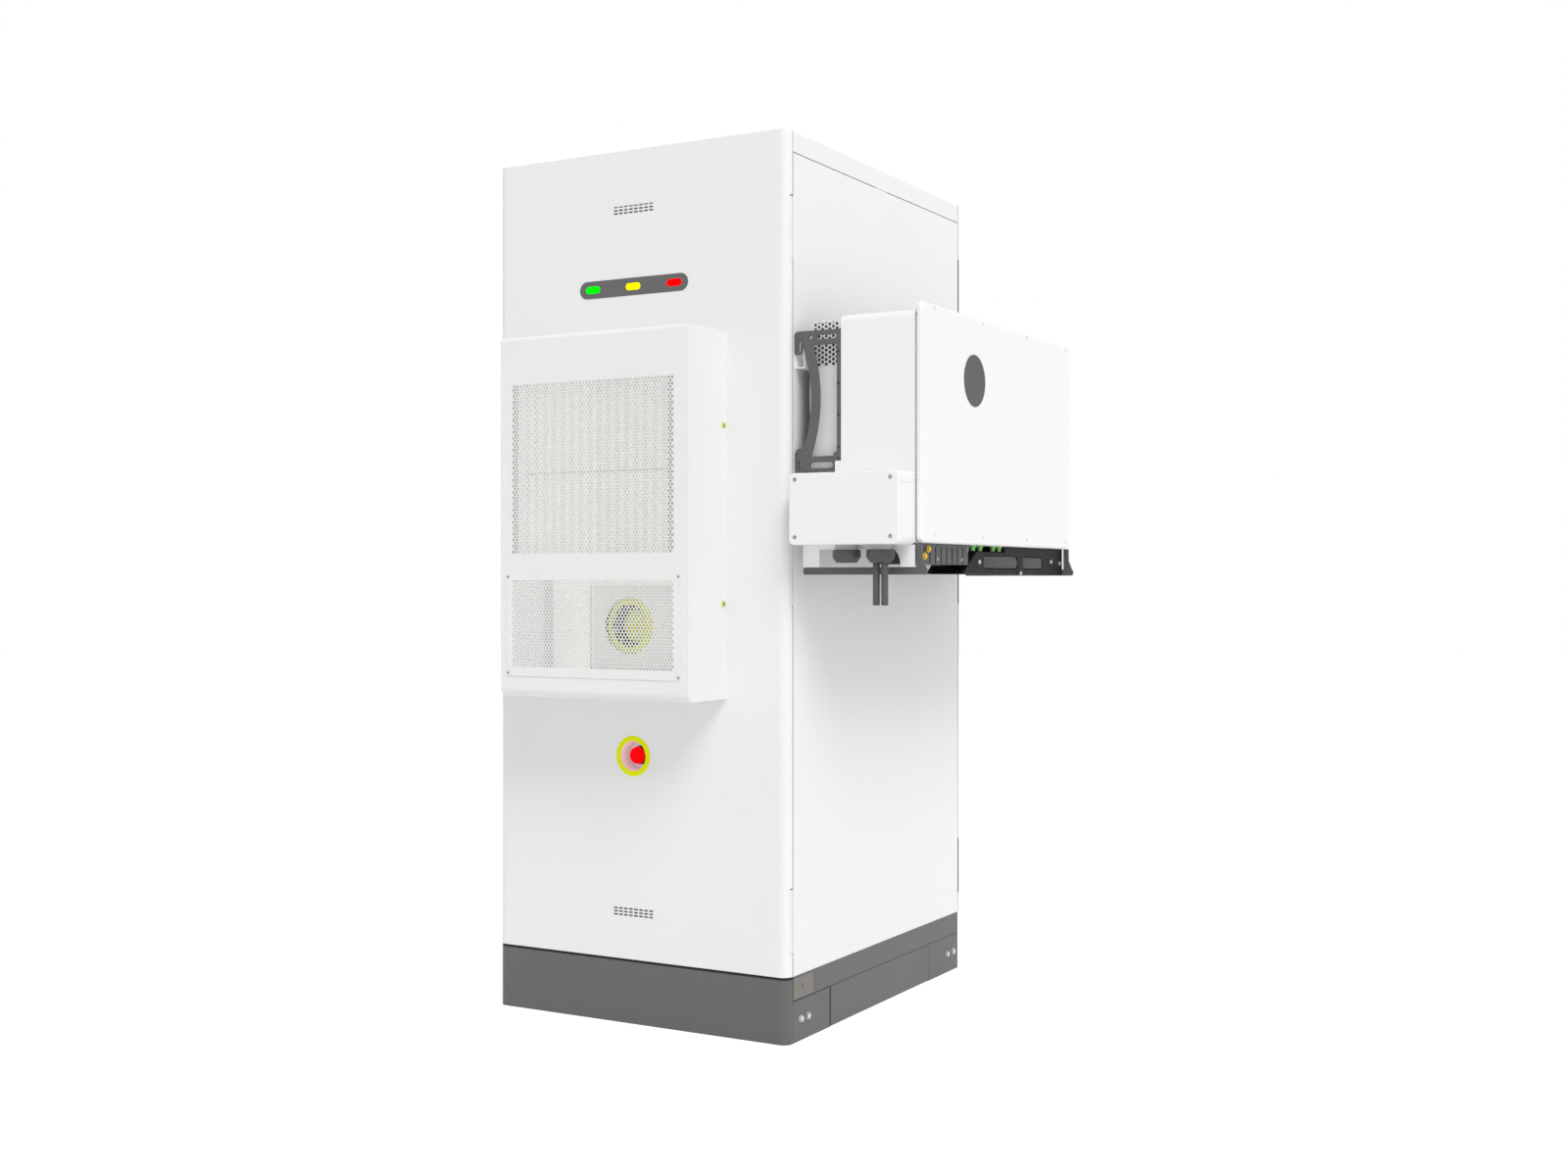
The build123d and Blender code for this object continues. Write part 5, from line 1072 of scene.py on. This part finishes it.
class CABINET_OT_glands(bpy.types.Operator):
    """Smooth tapered gland caps under the wiring box, each on a toothed neck."""
    bl_idname = "cabinet.glands"
    bl_label = "Cable glands"

    def execute(self, context):
        low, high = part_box("cable_glands")
        necks, caps = bmesh.new(), bmesh.new()
        shoulder = high.z - 11.5 * MM
        for x in (0.586, 0.6725):
            place = Matrix.Translation((x, -0.510, 0))
            teeth = fluted(27 * MM, 36, 2 * MM)
            lathe(necks, ((0, high.z), (26 * MM, high.z), (26 * MM, high.z - 1.5 * MM),
                          (teeth, high.z - 2.2 * MM),
                          (teeth, shoulder - 0.4 * MM), (0, shoulder - 0.4 * MM)), 144, place)
            lathe(caps, ((0, shoulder), (31.2 * MM, shoulder), (32.2 * MM, shoulder - 0.6 * MM),
                         (32.5 * MM, shoulder - 1.6 * MM), (32.5 * MM, low.z + 14 * MM),
                         (32.1 * MM, low.z + 12.4 * MM),
                         (25 * MM, low.z + 1.2 * MM), (24 * MM, low.z + 0.3 * MM), (23 * MM, low.z),
                         (20.5 * MM, low.z), (19.5 * MM, low.z + 2 * MM), (0, low.z + 2 * MM)), 96, place)
        piece_from(necks, "gland_necks", "gland_neck", "cabinet", (), 25)
        piece_from(caps, "gland_caps", "gland_black", "cabinet", ("cable_glands",), 25)
        return {"FINISHED"}


class CABINET_OT_wiring_box_ribs(bpy.types.Operator):
    """Two low ribs along each side of the wiring box."""
    bl_idname = "cabinet.wiring_box_ribs"
    bl_label = "Wiring box ribs"

    def execute(self, context):
        low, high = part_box("wiring_box")
        form = bmesh.new()
        for x in (low.x, high.x):
            for z in (low.z + 15 * MM, high.z - 24 * MM):
                bar(form, (x - 0.9 * MM, low.y + 6 * MM, z - 2 * MM),
                    (x + 0.9 * MM, high.y - 7 * MM, z + 2 * MM))
        bmesh.ops.bevel(form, geom=form.edges[:], offset=0.7 * MM, segments=2, affect="EDGES")
        piece_from(form, "wiring_box_ribs", "box_white", "cabinet")
        return {"FINISHED"}


# ---------------------------------------------------------------- perforated sheets
def perforate(name, node, holes, field, columns, rows, corner, finish, body):
    low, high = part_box(node)
    middle = (low + high) / 2
    piece = grow(name, "sheet", {
        "Width": high.x - low.x, "Height": high.z - low.z, "Thickness": high.y - low.y, "Corner": corner,
        "Hole": holes.hole, "Sides": holes.sides, "Columns": columns, "Rows": rows,
        "Column Pitch": holes.column_pitch, "Row Pitch": holes.row_pitch, "Field": field,
        "Place": (middle.x, high.y, middle.z), "Turn": TO_FRONT, "Finish": FINISHES[finish]})
    return finish_piece(piece, finish, body, (node,))


def whole_count(size, pitch, hole, extra=0.0):
    return int((size - hole) / pitch + 1 - extra)


class CABINET_OT_upper_grille(bpy.types.Operator):
    """Perforated sheet in front of the condenser."""
    bl_idname = "cabinet.upper_grille"
    bl_label = "Upper grille"

    def execute(self, context):
        holes = context.scene.cabinet_perforation
        low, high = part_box("ac_upper_grille")
        columns = whole_count(high.x - low.x, holes.column_pitch, holes.hole, 0.5)
        rows = whole_count(high.z - low.z, holes.row_pitch, holes.hole)
        perforate("perforated_grille", "ac_upper_grille", holes, (0, 0, 0), columns, rows, 0.0003,
                  "hood_white",
                  "front_door")
        return {"FINISHED"}


class CABINET_OT_service_panel(bpy.types.Operator):
    """Removable perforated panel in front of the fan, with its four screws."""
    bl_idname = "cabinet.service_panel"
    bl_label = "Service panel"

    def execute(self, context):
        holes = context.scene.cabinet_perforation
        low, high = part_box("ac_service_panel")
        columns = whole_count(471 * MM, holes.column_pitch, holes.hole, 0.5)
        rows = whole_count(218 * MM, holes.row_pitch, holes.hole)
        perforate("perforated_service_panel", "ac_service_panel", holes, (-1 * MM, 3 * MM, 0), columns, rows,
                  3 * MM, "hood_white", "front_door")
        inset_x, inset_z = 6 * MM, 8 * MM
        corners = [(x, low.y, z) for x in (low.x + inset_x, high.x - inset_x)
                   for z in (low.z + inset_z, high.z - inset_z)]
        radius = context.scene.cabinet_fasteners.panel_screw
        fasten("service_panel_screws", cross_head(radius, 1.6 * MM), 24, corners, TO_FRONT, "screw_steel",
               "front_door")
        return {"FINISHED"}


class CABINET_OT_vent_plates(bpy.types.Operator):
    """Plates between the side panel and the housing, perforated at their top."""
    bl_idname = "cabinet.vent_plates"
    bl_label = "Vent plates"

    def execute(self, context):
        holes = context.scene.cabinet_perforation
        low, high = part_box("converter_vent_plates")
        sheet = 1.5 * MM
        pieces = []
        for name, back in (("near", low.y + sheet), ("far", high.y)):
            piece = grow(f"vent_plate_{name}", "sheet", {
                "Width": high.x - low.x, "Height": high.z - low.z, "Thickness": sheet, "Corner": 0.0003,
                "Hole": holes.vent_hole, "Sides": 16, "Columns": 4, "Rows": 19,
                "Column Pitch": holes.vent_pitch, "Row Pitch": holes.vent_rows,
                "Field": (-9.5 * MM, 1.6485 - (low.z + high.z) / 2, 0),
                "Place": ((low.x + high.x) / 2, back, (low.z + high.z) / 2), "Turn": TO_FRONT,
                "Finish": FINISHES["vent_green"]})
            pieces.append(piece)
        form = bmesh.new()
        for piece in pieces:
            form.from_mesh(piece.data)
            bpy.data.objects.remove(piece)
        for ends in ((low.y + sheet, low.y + 13 * MM), (high.y - 13 * MM, high.y - sheet)):
            bar(form, (high.x - sheet, ends[0], low.z), (high.x, ends[1], high.z))
        piece_from(form, "perforated_vent_plates", "vent_green", "cabinet",
                   ("converter_vent_plates",))
        return {"FINISHED"}


class CABINET_OT_condenser_fins(bpy.types.Operator):
    """Fin edges on the condenser coil's face and the bar between its halves."""
    bl_idname = "cabinet.condenser_fins"
    bl_label = "Condenser fins"

    def execute(self, context):
        low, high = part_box("ac_upper_grille")
        left, right = low.x + 18 * MM, high.x - 18 * MM
        face = low.y + 29 * MM
        pitch = 3.2 * MM
        count = int((right - left - 4 * MM) / pitch)
        fins = grow("condenser_fins", "bars", {
            "Count": count, "Step": (pitch, 0, 0), "Size": (0.7 * MM, 3 * MM, high.z - low.z + 20 * MM),
            "First": (left + 4 * MM, face - 1.4 * MM, (low.z + high.z) / 2), "Finish": FINISHES["coil_fins"]})
        finish_piece(fins, "coil_fins", "front_door")
        form = bmesh.new()
        middle = low.z + 195 * MM
        bar(form, (left + 1 * MM, face - 6 * MM, middle - 2 * MM),
            (right - 1 * MM, face - 3 * MM, middle + 2 * MM))
        bmesh.ops.bevel(form, geom=form.edges[:], offset=0.6 * MM, segments=2, affect="EDGES")
        piece_from(form, "condenser_bar", "inner_zinc", "front_door")
        return {"FINISHED"}


# ---------------------------------------------------------------- fasteners
class CABINET_OT_hood_bolts(bpy.types.Operator):
    """Yellow passivated bolts that hold the hood on both sides."""
    bl_idname = "cabinet.hood_bolts"
    bl_label = "Hood bolts"

    def execute(self, context):
        low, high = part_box("ac_cover")
        radius = context.scene.cabinet_fasteners.hood_bolt
        for name, x, turn in (("right", high.x, TO_RIGHT), ("left", low.x, TO_LEFT)):
            places = [(x, high.y - 18 * MM, z) for z in (1.459, 1.035)]
            fasten(f"hood_bolts_{name}", socket_head(radius, 3.5 * MM), 24, places, turn, "bolt_yellow",
                   "front_door")
        return {"FINISHED"}


class CABINET_OT_plinth_bolts(bpy.types.Operator):
    """Pale hexagon bolts in the plinth's feet."""
    bl_idname = "cabinet.plinth_bolts"
    bl_label = "Plinth bolts"

    def execute(self, context):
        middle = middle_of("plinth_bolts")
        flats = context.scene.cabinet_fasteners.plinth_bolt
        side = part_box("corner_feet")[1].x
        for name, x, turn in (("right", side, TO_RIGHT), ("left", -side, TO_LEFT)):
            places = [(x, y, middle.z) for y in (-0.436, -0.402, 0.408, 0.448)]
            fasten(f"plinth_bolt_heads_{name}", hexagon_head(flats, 6 * MM, 1.5 * MM), 36, places, turn,
                   "bolt_pale", "cabinet", ("plinth_bolts",))
        return {"FINISHED"}


class CABINET_OT_converter_screws(bpy.types.Operator):
    """Screws of the converter's cover, wiring box lid and end frames."""
    bl_idname = "cabinet.converter_screws"
    bl_label = "Converter screws"

    def execute(self, context):
        sizes = context.scene.cabinet_fasteners
        cover_low, cover_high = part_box("converter_cover")
        rows = [(cover_high.x, y, z) for y in (-0.400, -0.115, 0.170, 0.455)
                for z in (cover_low.z + 20 * MM, cover_high.z - 9 * MM)]
        fasten("cover_screws", socket_head(sizes.cover_screw, 1.2 * MM), 24, rows, TO_RIGHT, "screw_white",
               "cabinet")
        low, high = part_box("wiring_box_lid")
        corners = [(x, low.y, z) for x in (low.x + 16 * MM, high.x - 20 * MM)
                   for z in (low.z + 18 * MM, high.z - 14.5 * MM)]
        fasten("lid_screws", cross_head(sizes.lid_screw, 1.6 * MM), 24, corners, TO_FRONT, "screw_steel",
               "cabinet")
        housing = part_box("converter_housing")[0]
        strip = [(0.542, housing.y, z) for z in (1.624, 1.549, 1.476, 1.401, 1.375)]
        fasten("end_frame_screws", socket_head(sizes.frame_screw, 1.0 * MM), 18, strip, TO_FRONT,
               "screw_black",
               "cabinet")
        return {"FINISHED"}


class CABINET_OT_trough_details(bpy.types.Operator):
    """Soft covers in the trough's windows and the bright screws beside them."""
    bl_idname = "cabinet.trough_details"
    bl_label = "Trough details"

    def execute(self, context):
        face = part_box("cable_trough")[1].x
        form = bmesh.new()
        for start_y, end_y in ((-0.073, 0.152), (0.186, 0.326)):
            low, high = 1.119 + 1.5 * MM, 1.153 - 1.5 * MM
            middle, length_y = (start_y + end_y) / 2, end_y - start_y - 3 * MM
            first = len(form.verts)
            bar(form, (face - 6.5 * MM, middle - length_y / 2, low),
                (face - 0.8 * MM, middle + length_y / 2, high))
            form.verts.ensure_lookup_table()
            block = form.verts[first:]
            upright = [edge for edge in form.edges if edge.verts[0] in block
                       and abs(edge.verts[0].co.x - edge.verts[1].co.x) > 1 * MM]
            bmesh.ops.bevel(form, geom=upright, offset=12 * MM, segments=8, affect="EDGES", profile=0.5)
        rim = [edge for edge in form.edges if min(v.co.x for v in edge.verts) > face - 1 * MM
               and len(edge.link_faces) == 2 and edge.calc_face_angle(0) > 1.0]
        bmesh.ops.bevel(form, geom=rim, offset=3.5 * MM, segments=4, affect="EDGES", profile=0.5)
        piece_from(form, "trough_window_covers", "boot_grey", "cabinet")
        bolts = [(face, -0.100, 1.136), (face, 0.170, 1.110), (face, 0.387, 1.141), (face, 0.452, 1.137)]
        fasten("trough_screws", hexagon_head(4.2 * MM, 3.5 * MM, 1.0 * MM), 24, bolts, TO_RIGHT, "bolt_pale",
               "cabinet")
        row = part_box("terminal_block")[1].x
        dots = [(row, -0.344, 1.140), (row, -0.205, 1.140)]
        fasten("terminal_screws", cross_head(3.4 * MM, 1.5 * MM), 24, dots, TO_RIGHT, "bolt_pale", "cabinet")
        return {"FINISHED"}


# ---------------------------------------------------------------- inside
class CABINET_OT_pack_fronts(bpy.types.Operator):
    """Ribs and screws on the fronts of the battery packs."""
    bl_idname = "cabinet.pack_fronts"
    bl_label = "Pack fronts"

    def execute(self, context):
        radius = context.scene.cabinet_fasteners.pack_screw
        floor_of_first, pitch, tall = 0.201, 0.256, 0.232
        screws, form = [], bmesh.new()
        for level in range(6):
            base = floor_of_first + level * pitch
            heights = (base + 0.007, base + tall - 0.041)
            screws += [(x, -0.310, z) for x in (-0.293, 0.0, 0.293) for z in heights]
            ribs = grow("ribs", "bars", {
                "Count": 9, "Step": (0, 0, 11 * MM), "Size": (150 * MM, 3 * MM, 3 * MM),
                "First": (0, -0.3074, base + tall / 2 - 60 * MM), "Finish": FINISHES["pack_black"]})
            form.from_mesh(ribs.data)
            bpy.data.objects.remove(ribs)
        piece_from(form, "pack_front_ribs", "pack_black", "cabinet")
        fasten("pack_front_screws", socket_head(radius, 1.8 * MM), 24, screws, TO_FRONT, "screw_steel",
               "cabinet")
        return {"FINISHED"}


# ---------------------------------------------------------------- sidebar
OPERATORS = (
    CABINET_OT_stage, CABINET_OT_finishes, CABINET_OT_cables, CABINET_OT_glands, CABINET_OT_wiring_box_ribs,
    CABINET_OT_upper_grille,
    CABINET_OT_service_panel, CABINET_OT_vent_plates, CABINET_OT_condenser_fins, CABINET_OT_hood_bolts,
    CABINET_OT_plinth_bolts, CABINET_OT_converter_screws, CABINET_OT_trough_details, CABINET_OT_pack_fronts,
)


class CABINET_PT_sidebar(bpy.types.Panel):
    """Lists the cabinet's makers and what can be changed."""
    bl_idname = "CABINET_PT_sidebar"
    bl_label = "Battery cabinet"
    bl_space_type = "VIEW_3D"
    bl_region_type = "UI"
    bl_category = "Cabinet"

    def draw(self, context):
        layout = self.layout
        for operator in OPERATORS:
            layout.operator(operator.bl_idname)
        for name in GROUPS:
            group = getattr(context.scene, name)
            box = layout.box()
            for key in group.bl_rna.properties.keys():
                if key not in {"rna_type", "name"}:
                    box.prop(group, key)


GROUPS = {
    "cabinet_colours": CabinetColours,
    "cabinet_perforation": CabinetPerforation,
    "cabinet_fasteners": CabinetFasteners,
    "cabinet_studio": CabinetStudio,
}
CLASSES = (*GROUPS.values(), *OPERATORS, CABINET_PT_sidebar)


def register():
    for item in CLASSES:
        bpy.utils.register_class(item)
    for name, group in GROUPS.items():
        setattr(bpy.types.Scene, name, PointerProperty(type=group))


def unregister():
    for name in GROUPS:
        delattr(bpy.types.Scene, name)
    for item in reversed(CLASSES):
        bpy.utils.unregister_class(item)


def main():
    register()
    for operator in OPERATORS:
        category, call = operator.bl_idname.split(".")
        getattr(getattr(bpy.ops, category), call)()


if __name__ == "__main__":
    main()
